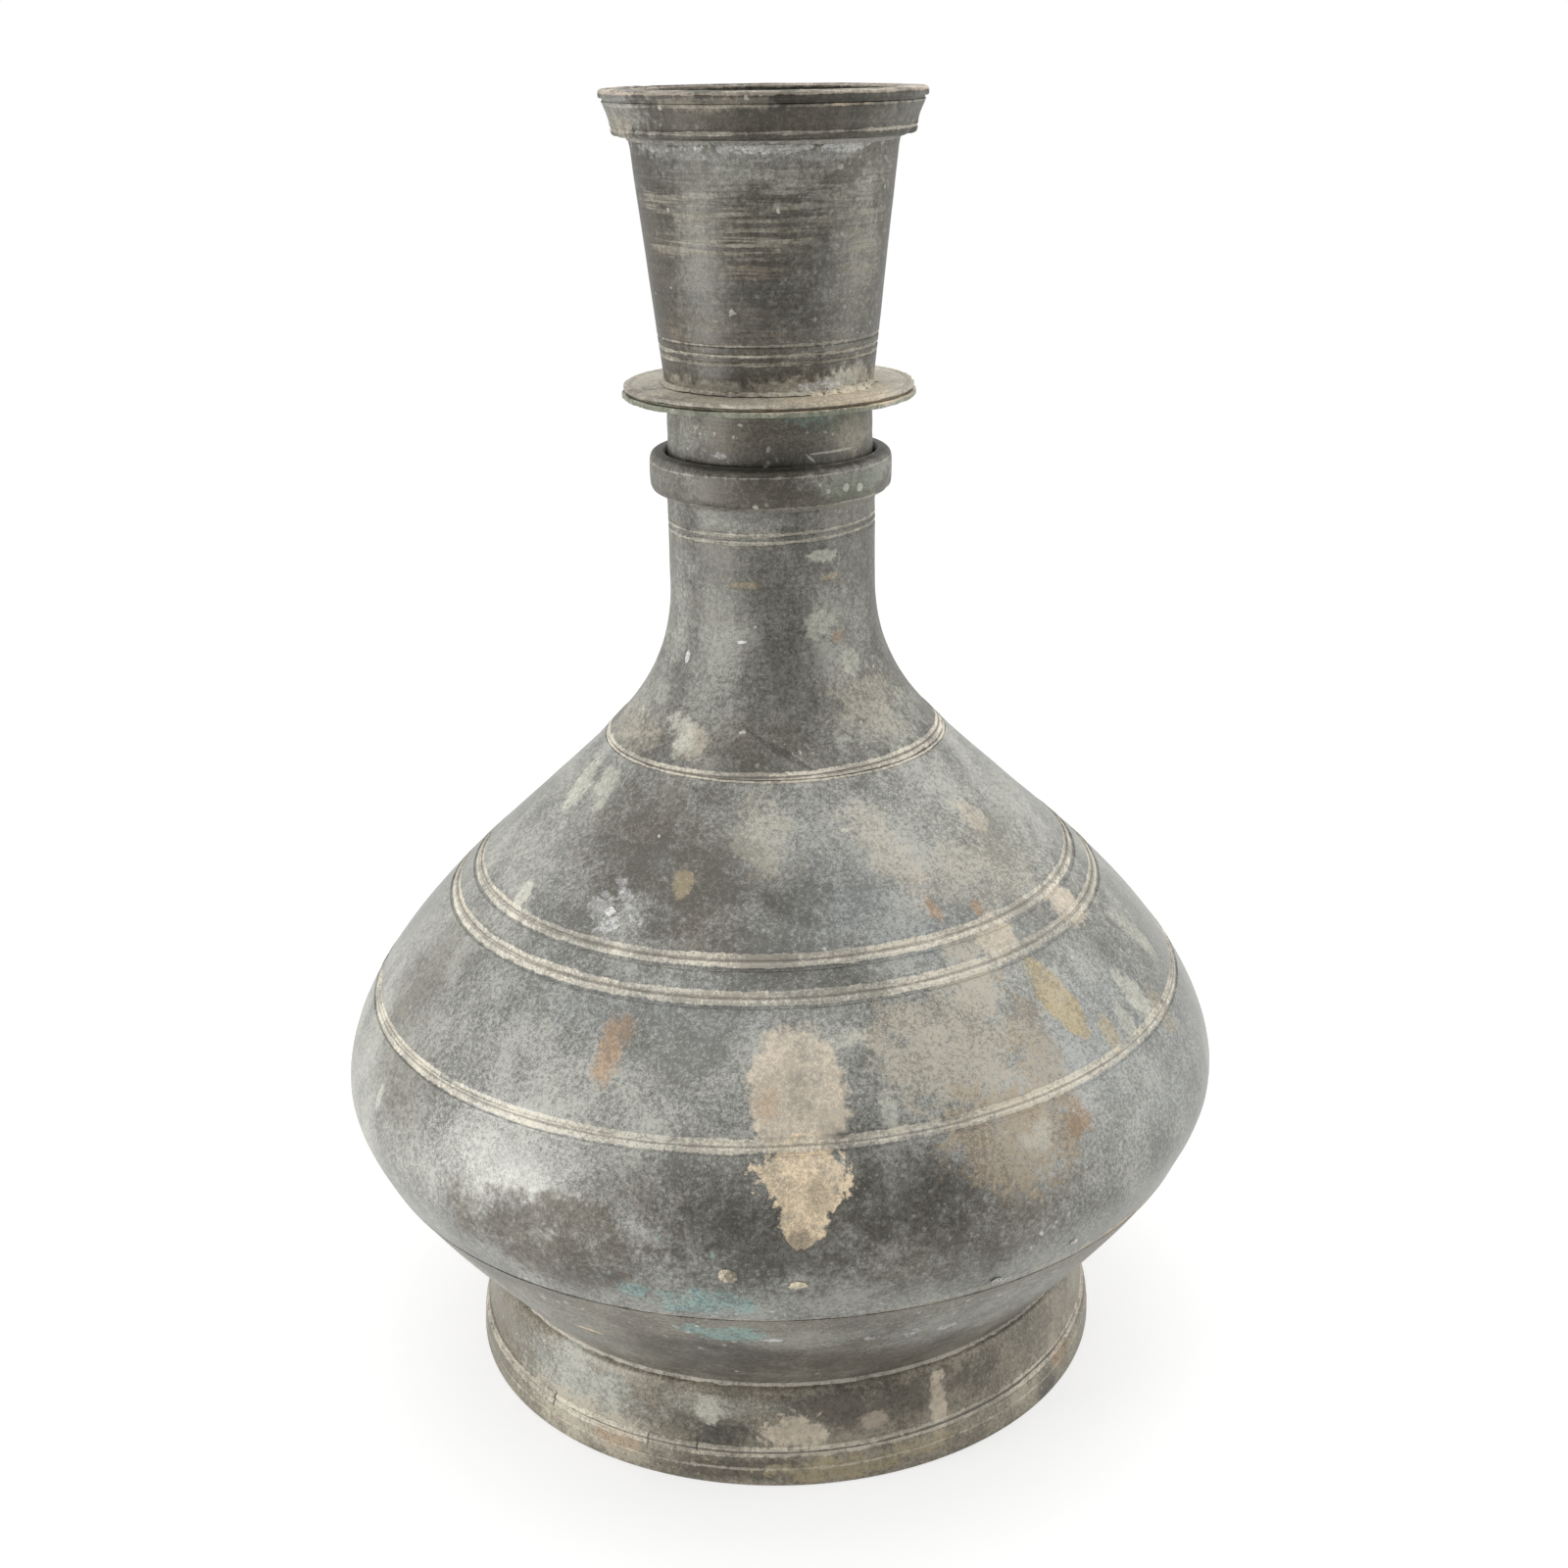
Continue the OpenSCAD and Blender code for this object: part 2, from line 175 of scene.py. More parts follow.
class Outline:
    """The bottle's outer line from the floor's edge up to the socket, read by height."""

    def __init__(self):
        s = sizes()
        joint = np.array([s.joint_radius, s.joint_height])
        widest = np.array([reach("belly_shell"), s.widest_height])
        shoulder = np.array([s.shoulder_radius, s.shoulder_height])
        neck = np.array([s.neck_radius, s.neck_height])
        floor = np.array([s.floor_radius, low("bottom_bowl")])
        bowl_rise = widest[1] - joint[1]
        belly_rise = shoulder[1] - widest[1]
        neck_rise = neck[1] - shoulder[1]
        up = np.array([0.0, 1.0])
        outwards = leaning(s.bowl_lean)
        inwards = leaning(-s.shoulder_lean)
        curves = (
            (floor, (floor + [joint[0], floor[1]]) / 2, joint - 0.33 * joint[1] * outwards, joint),
            (joint, joint + 0.755 * bowl_rise * outwards, widest - 0.168 * bowl_rise * up, widest),
            (widest, widest + 0.374 * belly_rise * up, shoulder - 0.202 * belly_rise * inwards, shoulder),
            (shoulder, shoulder + 0.522 * neck_rise * inwards, neck - 0.436 * neck_rise * up, neck),
            (neck, neck + 0.001 * up, neck + 0.002 * up, [neck[0], s.socket_height]),
        )
        places, ways = zip(*(bezier(curve, 80) for curve in curves))
        place, way = np.concatenate(places), np.concatenate(ways)
        way /= np.linalg.norm(way, axis=1)[:, None]
        self.radius, self.height = place[:, 0], place[:, 1]
        self.inwards = np.column_stack([-way[:, 1], way[:, 0]])

    def at(self, height, depth=0.0):
        """Radius and height of the point at a height of the outline, moved into the metal."""
        inner = [np.interp(height, self.height, self.inwards[:, i]) for i in (0, 1)]
        radius = np.interp(height, self.height, self.radius)
        return radius + depth * inner[0], height + depth * inner[1]

    def wall(self, start, end, depth, step, lines=()):
        """Points up (or down) the wall at a depth below the outline, dipping into each scribed line."""
        heights = list(np.arange(min(start, end), max(start, end), step)) + [max(start, end)]
        dips = {}
        for line, width, dip in lines:
            heights = [h for h in heights if abs(h - line) > 0.75 * width]
            for across, share_of_dip in groove(0.65, 0.45, 0.2, 0.12):
                heights.append(line + across * width)
                dips[line + across * width] = share_of_dip * dip
        heights.sort(reverse=start > end)
        return [self.at(h, depth + dips.get(h, 0.0)) for h in heights]


def rounded(points, radius, steps=4):
    """An outline with rounded corners, from points (radius, height, share of the corner's radius)."""
    out = []
    count = len(points)
    for i, (r, z, share_of_radius) in enumerate(points):
        corner = np.array([r, z])
        if not share_of_radius:
            out.append((r, z))
            continue
        before = np.array(points[i - 1][:2]) - corner
        after = np.array(points[(i + 1) % count][:2]) - corner
        cut = radius * share_of_radius
        first = corner + before / np.linalg.norm(before) * min(cut, np.linalg.norm(before) / 2)
        last = corner + after / np.linalg.norm(after) * min(cut, np.linalg.norm(after) / 2)
        for t in np.linspace(0, 1, steps + 1):
            out.append(tuple((1 - t) ** 2 * first + 2 * t * (1 - t) * corner + t * t * last))
    return out


# ---- Modelling ----


def deselect():
    bpy.ops.object.select_all(action="DESELECT")


def turned(name, section, steps=TURN_STEPS, closed=True):
    """Draws a half section by extruding a point along it, and spins it about the bottle's axis."""
    deselect()
    bpy.ops.mesh.primitive_plane_add(size=MM, location=(0, 0, 0))
    piece = bpy.context.active_object
    piece.name = name
    bpy.ops.object.mode_set(mode="EDIT")
    bpy.ops.mesh.select_all(action="SELECT")
    bpy.ops.mesh.merge(type="CENTER")
    bpy.ops.transform.translate(value=(section[0][0], 0, section[0][1]))
    path = list(section[1:]) + ([section[0]] if closed else [])
    here = section[0]
    for point in path:
        step = (point[0] - here[0], 0, point[1] - here[1])
        bpy.ops.mesh.extrude_region_move(TRANSFORM_OT_translate={"value": step})
        here = point
    bpy.ops.mesh.select_all(action="SELECT")
    bpy.ops.mesh.remove_doubles(threshold=0.004 * MM)
    bpy.ops.mesh.select_all(action="SELECT")
    bpy.ops.mesh.spin(steps=steps, angle=2 * math.pi, center=(0, 0, 0), axis=(0, 0, 1))
    bpy.ops.mesh.select_all(action="SELECT")
    bpy.ops.mesh.remove_doubles(threshold=0.004 * MM)
    bpy.ops.mesh.normals_make_consistent(inside=False)
    bpy.ops.object.mode_set(mode="OBJECT")
    return piece


def apply_all(piece):
    """Applies the piece's modifiers in order."""
    deselect()
    piece.select_set(True)
    bpy.context.view_layer.objects.active = piece
    for modifier in list(piece.modifiers):
        bpy.ops.object.modifier_apply(modifier=modifier.name)


def roughen(piece, size, depth, keep=None):
    """Lets the surface sink by up to a depth, in soft hollows of about a size, where keep lets it."""
    group = keep and skin_group(piece, keep)
    texture = bpy.data.textures.new(piece.name + " hollows", "CLOUDS")
    texture.noise_scale = size
    texture.noise_depth = 2
    sink = piece.modifiers.new("Uneven", "DISPLACE")
    sink.texture = texture
    sink.texture_coords = "LOCAL"
    sink.strength = depth
    sink.mid_level = 1.0
    if group:
        sink.vertex_group = group
    apply_all(piece)


def skin_group(piece, keep):
    """A vertex group of the points that a test keeps, by their radius and height."""
    group = piece.vertex_groups.new(name="skin")
    for vertex in piece.data.vertices:
        weight = float(keep(math.hypot(vertex.co.x, vertex.co.y), vertex.co.z))
        if weight > 0:
            group.add([vertex.index], weight, "REPLACE")
    return group.name


def finished(piece, material, body, nodes, sharp=40):
    """Smooths a piece, gives it its finish, and sets it in the place of its nodes."""
    deselect()
    piece.select_set(True)
    bpy.context.view_layer.objects.active = piece
    bpy.ops.object.shade_smooth_by_angle(angle=math.radians(sharp))
    piece.data.materials.clear()
    piece.data.materials.append(material)
    piece.vertex_groups.clear()
    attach(piece, body)
    if nodes:
        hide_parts(*nodes)
    return piece


def turn_of(co):
    """Degrees round the bottle from its front, growing towards +X."""
    return math.degrees(math.atan2(co.x, -co.y))


def dent(piece, turn, height, radius, move, size):
    """Pushes the surface near a place by a move in metres (outwards, upwards), fading over a size."""
    a = math.radians(turn)
    centre = Vector((radius * math.sin(a), -radius * math.cos(a), height))
    outwards = Vector((math.sin(a), -math.cos(a), 0))
    push = outwards * move[0] + Vector((0, 0, move[1]))
    for vertex in piece.data.vertices:
        far = (vertex.co - centre).length / size
        if far < 1:
            vertex.co += push * (1 - far * far) ** 2


# ---- Node building ----


class Graph:
    """Adds nodes to one node tree, each with its values and links in one call."""

    def __init__(self, tree):
        self.tree = tree

    def add(self, kind, values=None, **settings):
        node = self.tree.nodes.new(kind)
        for key, value in settings.items():
            setattr(node, key, value)
        for key, value in (values or {}).items():
            socket = node.inputs[key]
            if isinstance(value, bpy.types.NodeSocket):
                self.tree.links.new(value, socket)
            else:
                socket.default_value = value
        return node

    def math(self, operation, a, b=0.0):
        node = self.add("ShaderNodeMath", {0: a, 1: b}, operation=operation)
        return node.outputs[0]

    def times(self, a, b):
        return self.math("MULTIPLY", a, b)

    def plus(self, a, b):
        return self.math("ADD", a, b)

    def minus(self, a, b):
        return self.math("SUBTRACT", a, b)

    def mix(self, factor, a, b, blend="MIX"):
        a, b = (c if isinstance(c, bpy.types.NodeSocket) else (*c, 1.0) for c in (a, b))
        node = self.add("ShaderNodeMix", {0: factor, 6: a, 7: b}, data_type="RGBA", blend_type=blend)
        return node.outputs[2]

    def blend(self, factor, a, b):
        return self.add("ShaderNodeMix", {0: factor, 2: a, 3: b}, data_type="FLOAT").outputs[0]

    def noise(self, vector, scale, detail=2.0, rough=0.5):
        values = {"Vector": vector, "Scale": scale, "Detail": detail, "Roughness": rough}
        return self.add("ShaderNodeTexNoise", values).outputs["Fac"]

    def stretch(self, vector, around, upwards, shift=0.0):
        values = {"Vector": vector, "Scale": (around, around, upwards), "Location": (shift, shift, shift)}
        return self.add("ShaderNodeMapping", values).outputs[0]

    def span(self, value, start, end, first=0.0, last=1.0, smooth=True):
        kind = "SMOOTHSTEP" if smooth else "LINEAR"
        values = {"Value": value, "From Min": start, "From Max": end, "To Min": first, "To Max": last}
        return self.add("ShaderNodeMapRange", values, interpolation_type=kind).outputs[0]

    def ramp(self, value, stops):
        node = self.add("ShaderNodeValToRGB", {0: value})
        while len(node.color_ramp.elements) < len(stops):
            node.color_ramp.elements.new(0.5)
        for element, (place, colour) in zip(node.color_ramp.elements, stops):
            element.position = place
            element.color = (*colour, 1.0)
        return node.outputs[0]

    def group(self, name, values):
        return self.add("ShaderNodeGroup", values, node_tree=shared(name))


def new_group(name, inputs, outputs):
    """An empty node group with named sockets, and its graph, input node and output node."""
    tree = bpy.data.node_groups.new(name, "ShaderNodeTree")
    for label, kind, value in inputs:
        socket = tree.interface.new_socket(label, in_out="INPUT", socket_type="NodeSocket" + kind)
        socket.default_value = value
    for label, kind in outputs:
        tree.interface.new_socket(label, in_out="OUTPUT", socket_type="NodeSocket" + kind)
    graph = Graph(tree)
    return graph, graph.add("NodeGroupInput").outputs, graph.add("NodeGroupOutput").inputs


def floats(**values):
    """Number sockets of a node group; an underscore stands for a blank."""
    return [(name.replace("_", " "), "Float", value) for name, value in values.items()]


def place_group():
    """Where a point lies on the bottle: turn from the front in degrees, height and radius in mm."""
    outputs = [(label, "Float") for label in ("Turn", "Height", "Radius", "Side", "Ragged", "Streaks")]
    graph, _, out = new_group("Place on bottle", [], outputs)
    point = graph.add("ShaderNodeTexCoord").outputs["Object"]
    axes = graph.add("ShaderNodeSeparateXYZ", {0: point}).outputs
    turn = graph.math("ARCTAN2", axes[0], graph.times(axes[1], -1.0))
    squares = [graph.math("POWER", axes[i], 2.0) for i in (0, 1)]
    radius = graph.math("SQRT", graph.plus(*squares))
    coarse = graph.noise(point, 130.0, 4.0, 0.62)
    fine = graph.noise(point, 520.0, 3.0, 0.6)
    ragged = graph.plus(graph.times(coarse, 0.68), graph.times(fine, 0.32))
    link = graph.tree.links.new
    link(graph.times(turn, 180.0 / math.pi), out["Turn"])
    link(graph.times(axes[2], 1000.0), out["Height"])
    link(graph.times(radius, 1000.0), out["Radius"])
    link(graph.math("DIVIDE", axes[0], graph.math("MAXIMUM", radius, 0.001)), out["Side"])
    link(graph.times(graph.minus(ragged, 0.5), 4.0), out["Ragged"])
    streaks = graph.noise(graph.stretch(point, 34.0, 640.0, 0.3), 1.6, 4.0, 0.6)
    link(graph.span(streaks, 0.46, 0.56), out["Streaks"])


def stain_group():
    """An oval patch with a ragged edge, at a turn and height, with half sizes in mm."""
    inputs = floats(
        Turn=0.0, Height=0.0, Radius=1.0, Ragged=0.0, At_Turn=0.0, At_Height=0.0,
        Half_Width=10.0, Half_Height=10.0, Lean=0.0, Soft=0.3, Torn=0.3,
    )
    graph, given, out = new_group("Stain", inputs, [("Mask", "Float")])
    degrees = graph.minus(given["Turn"], given["At Turn"])
    across = graph.times(graph.times(degrees, math.pi / 180.0), given["Radius"])
    rise = graph.minus(given["Height"], given["At Height"])
    across = graph.plus(across, graph.times(rise, given["Lean"]))
    across = graph.math("DIVIDE", across, given["Half Width"])
    rise = graph.math("DIVIDE", rise, given["Half Height"])
    squares = [graph.times(side, side) for side in (across, rise)]
    far = graph.math("SQRT", graph.plus(*squares))
    far = graph.plus(far, graph.times(given["Ragged"], given["Torn"]))
    mask = graph.span(far, graph.plus(1.0, given["Soft"]), graph.minus(1.0, given["Soft"]))
    graph.tree.links.new(mask, out["Mask"])


def line_group():
    """A scribed pair round the bottle: its lime filling, the dark ridge between, and painted shade along its
    edges.
    """
    inputs = floats(Height=0.0, Side=0.0, Ragged=0.0, At_Height=0.0, Tilt=0.0, Half_Width=0.4, Wear=0.5)
    outputs = [("Filling", "Float"), ("Ridge", "Float"), ("Edge", "Float")]
    graph, given, out = new_group("Scribed line", inputs, outputs)
    level = graph.plus(given["At Height"], graph.times(given["Side"], given["Tilt"]))
    away = graph.math("ABSOLUTE", graph.minus(given["Height"], level))
    torn = graph.plus(away, graph.times(given["Ragged"], 0.45))
    inside = graph.minus(given["Half Width"], 0.15)
    filling = graph.span(torn, graph.plus(given["Half Width"], 0.15), inside)
    worn = graph.span(given["Ragged"], given["Wear"], graph.plus(given["Wear"], 0.35), 1.0, 0.35)
    past = graph.minus(away, given["Half Width"])
    point = graph.add("ShaderNodeTexCoord").outputs["Object"]
    kept = graph.span(graph.noise(point, 55.0, 4.0, 0.6), 0.4, 0.58, 0.6, 1.0)
    link = graph.tree.links.new
    link(graph.times(graph.times(filling, worn), kept), out["Filling"])
    waver = graph.plus(away, graph.times(given["Ragged"], 0.2))
    link(graph.span(waver, 0.34, 0.1), out["Ridge"])
    # Painted shade: a thin dark line just outside each edge of the lime filling
    link(graph.times(graph.span(past, -0.1, 0.1), graph.span(past, 0.6, 0.2)), out["Edge"])


def mottle_group():
    """Clouded, grainy metal between a dark, a middle and a light tone, with its relief."""
    inputs = [
        (name, "Color", (tone, tone, tone, 1))
        for name, tone in (("Dark", 0.1), ("Middle", 0.2), ("Light", 0.3))
    ]
    inputs += floats(Grain=1.0, Rings=0.3, Cloud=1.0)
    outputs = [("Color", "Color"), ("Relief", "Float"), ("Tone", "Float")]
    graph, given, out = new_group("Mottled patina", inputs, outputs)
    point = graph.add("ShaderNodeTexCoord").outputs["Object"]
    moved = graph.add("ShaderNodeVectorMath", {0: point, 1: (1.3, 0.7, 0.4)}, operation="ADD").outputs[0]
    broad = graph.noise(graph.stretch(moved, 1, 0.7), 16.0, 4.0, 0.6)
    cloud = graph.noise(graph.stretch(moved, 1, 0.75), 60.0, 7.0, 0.68)
    grain = graph.noise(point, 900.0, 3.0, 0.75)
    speck = graph.noise(point, 2300.0, 1.0, 0.6)
    rings = graph.noise(graph.stretch(point, 12.0, 420.0), 2.2, 4.0, 0.65)

    def centred(value, amount):
        return graph.times(graph.minus(value, 0.5), amount)

    soft = graph.times(graph.plus(centred(broad, 1.5), centred(cloud, 2.1)), given["Cloud"])
    tight = graph.times(graph.plus(centred(grain, 2.5), centred(speck, 1.5)), given["Grain"])
    brushed = graph.times(centred(rings, 1.6), given["Rings"])
    level = graph.plus(graph.plus(soft, tight), graph.plus(brushed, 0.5))
    lower = graph.mix(graph.span(level, 0.0, 0.5, smooth=False), given["Dark"], given["Middle"])
    colour = graph.mix(graph.span(level, 0.5, 1.0, smooth=False), lower, given["Light"])
    relief = graph.plus(graph.times(grain, 0.5), graph.times(brushed, 0.8))
    link = graph.tree.links.new
    link(colour, out["Color"])
    link(relief, out["Relief"])
    link(level, out["Tone"])


def speckle_group():
    """Small grains of crust: a mask of dots whose number and size can be set."""
    inputs = floats(Scale=300.0, Size=0.2, Share=0.5)
    graph, given, out = new_group("Speckle", inputs, [("Mask", "Float")])
    point = graph.add("ShaderNodeTexCoord").outputs["Object"]
    bent = graph.add("ShaderNodeTexNoise", {"Vector": point, "Scale": 500.0}).outputs["Color"]
    wander = graph.add("ShaderNodeVectorMath", {0: bent, 3: 0.0022}, operation="SCALE").outputs[0]
    moved = graph.add("ShaderNodeVectorMath", {0: point, 1: wander}, operation="ADD").outputs[0]
    cells = graph.add("ShaderNodeTexVoronoi", {"Vector": moved, "Scale": given["Scale"]}, feature="F1")
    pick = graph.add("ShaderNodeSeparateColor", {0: cells.outputs["Color"]}).outputs
    size = graph.times(given["Size"], graph.plus(pick[1], 0.4))
    dot = graph.span(cells.outputs["Distance"], size, graph.times(size, 0.6))
    chosen = graph.math("LESS_THAN", pick[0], given["Share"])
    graph.tree.links.new(graph.times(dot, chosen), out["Mask"])


def scatter_group():
    """Stains strewn over the sides and back: upright ovals and broad clouds, none at the front."""
    inputs = floats(Turn=0.0, Ragged=0.0, From_Turn=80.0)
    outputs = [(label, "Float") for label in ("Ovals", "Clouds", "Earth")]
    graph, given, out = new_group("Strewn stains", inputs, outputs)
    point = graph.add("ShaderNodeTexCoord").outputs["Object"]
    away = graph.math("ABSOLUTE", given["Turn"])
    behind = graph.span(away, given["From Turn"], graph.plus(given["From Turn"], 25.0))
    tall = graph.stretch(point, 1, 0.5)
    cells = graph.add("ShaderNodeTexVoronoi", {"Vector": tall, "Scale": 26.0}, feature="F1")
    pick = graph.add("ShaderNodeSeparateColor", {0: cells.outputs["Color"]}).outputs
    far = graph.plus(cells.outputs["Distance"], graph.times(given["Ragged"], 0.05))
    size = graph.times(pick[1], 0.3)
    ovals = graph.span(far, size, graph.minus(size, 0.06))
    ovals = graph.times(ovals, graph.math("LESS_THAN", pick[0], 0.55))
    clouds = graph.span(graph.noise(graph.stretch(point, 1, 0.6, 3.1), 34.0, 5.0, 0.65), 0.52, 0.7)
    earth = graph.span(graph.noise(graph.stretch(point, 1, 0.7, 7.7), 22.0, 5.0, 0.6), 0.58, 0.68)
    for mask, label in ((ovals, "Ovals"), (clouds, "Clouds"), (earth, "Earth")):
        graph.tree.links.new(graph.times(mask, behind), out[label])


GROUPS = {
    "Place on bottle": place_group,
    "Stain": stain_group,
    "Scribed line": line_group,
    "Mottled patina": mottle_group,
    "Speckle": speckle_group,
    "Strewn stains": scatter_group,
}


def shared(name):
    """The node group of a name, built the first time it is asked for."""
    if name not in bpy.data.node_groups:
        GROUPS[name]()
    return bpy.data.node_groups[name]


# ---- Patina ----

# A stain on the metal: degrees from the front, height, half width and half height in mm, strength,
# how soft and how torn its edge is, and how far it leans over per mm of height
Stain = namedtuple("Stain", "turn height width tall power soft torn lean", defaults=(1.0, 0.25, 0.3, 0.0))
# A scribed line: height, tilt and half width in mm, how much of its lime is left, and its strengths
Line = namedtuple("Line", "height tilt half wear power ridge", defaults=(0.0, 0.4, 0.6, 0.9, 0.0))
# A kind of stain: colour, roughness, how high it stands, and how much grain shows through
Kind = namedtuple("Kind", "colour rough lift grain")

# How far soft edges are torn besides their own tearing, and how strongly brush marks carry their stains
TORN_BY_SOFTNESS = 0.75
STREAK_STRENGTH = 0.72

KINDS = {
    "dark": Kind((0.085, 0.08, 0.068), 0.5, 0.0, 0.6),
    "brown": Kind((0.13, 0.115, 0.09), 0.55, 0.0, 0.6),
    "blue": Kind((0.27, 0.285, 0.28), 0.5, 0.0, 0.7),
    # The haze kind is the pale haze of the patina, and is also laid as painted sheen and highlights on the
    # sides of the neck, collar, funnel and rim
    "haze_and_sheen": Kind((0.42, 0.42, 0.375), 0.6, 0.1, 0.7),
    "sand": Kind((0.43, 0.39, 0.31), 0.7, 0.2, 0.6),
    "clay": Kind((0.36, 0.30, 0.22), 0.65, 0.1, 0.6),
    "tan": Kind((0.64, 0.56, 0.445), 0.75, 0.3, 0.35),
    "olive": Kind((0.44, 0.37, 0.24), 0.75, 0.4, 0.5),
    "rust": Kind((0.40, 0.26, 0.15), 0.7, 0.2, 0.4),
    "pale": Kind((0.56, 0.55, 0.47), 0.75, 0.4, 0.4),
    "cream": Kind((0.82, 0.67, 0.47), 0.85, 1.0, 0.5),
    "white": Kind((0.74, 0.74, 0.73), 0.85, 0.8, 0.8),
    "green": Kind((0.17, 0.20, 0.145), 0.75, 0.4, 0.6),
    "verdigris": Kind((0.29, 0.42, 0.40), 0.75, 0.5, 0.9),
}


class Patina:
    """One bronze finish: mottled metal, then stains, lines and speckles laid over it."""

    def __init__(self, name, dark, middle, light, rings=0.3, cloud=1.0, rough=0.46, metal=None):
        self.material = bpy.data.materials.new(name)
        self.material.use_nodes = True
        tree = self.material.node_tree
        tree.nodes.clear()
        self.graph = graph = Graph(tree)
        where = graph.group("Place on bottle", {}).outputs
        self.turn, self.height, self.radius = where["Turn"], where["Height"], where["Radius"]
        self.side, self.ragged, self.streaks = where["Side"], where["Ragged"], where["Streaks"]
        mottle = graph.group(
            "Mottled patina",
            {
                "Dark": (*dark, 1), "Middle": (*middle, 1), "Light": (*light, 1),
                "Grain": look().grain, "Rings": rings, "Cloud": cloud,
            },
        ).outputs
        self.colour, self.relief, self.tone = mottle["Color"], mottle["Relief"], mottle["Tone"]
        self.rough = graph.span(self.tone, 0.1, 0.9, rough - 0.07, rough + 0.09)
        self.crust = 0.0
        self.metal = look().wear if metal is None else metal

    def lay(self, mask, kind):
        """Lays one kind of stain where a mask is."""
        graph, stain = self.graph, KINDS[kind]
        mask = graph.times(mask, graph.span(self.ragged, -0.4, 0.7, 1.0, 0.55))
        shade = graph.span(self.tone, 0.1, 0.9, 1.0 - 0.45 * stain.grain, 1.0 + 0.45 * stain.grain)
        grainy = graph.mix(1.0, stain.colour, self._grey(shade), "MULTIPLY")
        self.colour = graph.mix(mask, self.colour, grainy)
        self.rough = graph.blend(mask, self.rough, stain.rough)
        if stain.lift:
            raised = graph.times(mask, stain.lift)
            self.relief = graph.plus(self.relief, raised)
            self.crust = graph.math("MAXIMUM", self.crust, mask)

    def _grey(self, value):
        return self.graph.add("ShaderNodeCombineColor", {0: value, 1: value, 2: value}).outputs[0]

    def here(self):
        """Where a point lies, as a stain's node group takes it."""
        return {"Turn": self.turn, "Height": self.height, "Radius": self.radius, "Ragged": self.ragged}

    def stains(self, kind, *marks, streaked=False):
        """Lays stains of one kind; each mark holds a Stain's values in order."""
        graph, mask = self.graph, 0.0
        for mark in (Stain(*values) for values in marks):
            shape = {
                "At Turn": mark.turn, "At Height": mark.height, "Half Width": mark.width,
                "Half Height": mark.tall, "Lean": mark.lean, "Soft": mark.soft,
                "Torn": mark.torn + TORN_BY_SOFTNESS * mark.soft,
            }
            one = graph.group("Stain", self.here() | shape).outputs[0]
            mask = graph.math("MAXIMUM", mask, graph.times(one, mark.power))
        if streaked:
            mask = graph.times(mask, graph.times(self.streaks, STREAK_STRENGTH))
        self.lay(mask, kind)

    def spot(self, turn, height, width, tall):
        """A soft oval mask for speckles."""
        shape = {
            "At Turn": turn, "At Height": height, "Half Width": width, "Half Height": tall,
            "Soft": 0.5, "Torn": 0.3,
        }
        return self.graph.group("Stain", self.here() | shape).outputs[0]

    def lines(self, marks, colour=None):
        """Fills scribed lines with lime and paints shade along their edges."""
        graph = self.graph
        for mark in marks:
            line = graph.group(
                "Scribed line",
                {
                    "Height": self.height, "Side": self.side, "Ragged": self.ragged, "At Height": mark.height,
                    "Tilt": mark.tilt, "Half Width": mark.half, "Wear": mark.wear,
                },
            ).outputs
            # Painted shade along both edges of the line, in a near-black colour
            edge = graph.times(line["Edge"], 0.1 * mark.power)
            self.colour = graph.mix(edge, self.colour, (0.06, 0.055, 0.046))
            filling = graph.times(line["Filling"], mark.power)
            shade = graph.span(self.tone, 0.1, 0.9, 0.7, 1.25)
            lime = graph.mix(1.0, colour or tuple(look().deposit), self._grey(shade), "MULTIPLY")
            self.colour = graph.mix(filling, self.colour, lime)
            self.rough = graph.blend(filling, self.rough, 0.8)
            ridge = graph.times(line["Ridge"], mark.ridge)
            self.colour = graph.mix(ridge, self.colour, (0.09, 0.083, 0.07))

    def speckles(self, kind, scale, size, share_of_cells, mask=None, power=1.0):
        """Strews grains of one kind, all over or where a mask is."""
        graph = self.graph
        dots = graph.group("Speckle", {"Scale": scale, "Size": size, "Share": share_of_cells}).outputs[0]
        dots = graph.times(dots, power)
        if mask is not None:
            dots = graph.times(dots, mask)
        self.lay(dots, kind)

    def strewn(self, ovals="pale", clouds="haze_and_sheen", earth="sand", start=80.0):
        """Stains on the sides and back, which stand for those that the front's marks don't give."""
        graph = self.graph
        values = {"Turn": self.turn, "Ragged": self.ragged, "From Turn": start}
        masks = graph.group("Strewn stains", values).outputs
        self.lay(graph.times(masks["Clouds"], 0.55), clouds)
        self.lay(graph.times(masks["Earth"], 0.7), earth)
        self.lay(graph.times(masks["Ovals"], 0.65), ovals)

    def band(self, start, end, soft=2.0, torn=1.5):
        """A mask of the heights between two, in mm, with ragged edges."""
        graph = self.graph
        height = graph.plus(self.height, graph.times(self.ragged, torn))
        rising = graph.span(height, start - soft, start + soft)
        return graph.times(rising, graph.span(height, end + soft, end - soft))

    def done(self, bump=0.35):
        """Joins the finish to its shader."""
        graph = self.graph
        height = graph.add(
            "ShaderNodeBump",
            {"Height": self.relief, "Strength": 0.5 * look().relief, "Distance": bump * MM},
        ).outputs[0]
        bare = graph.minus(1.0, self.crust) if self.crust else 1.0
        metal = graph.times(bare, self.metal)
        shader = graph.add(
            "ShaderNodeBsdfPrincipled",
            {"Base Color": self.colour, "Roughness": self.rough, "Metallic": metal, "Normal": height},
        )
        graph.add("ShaderNodeOutputMaterial", {0: shader.outputs[0]})
        return self.material


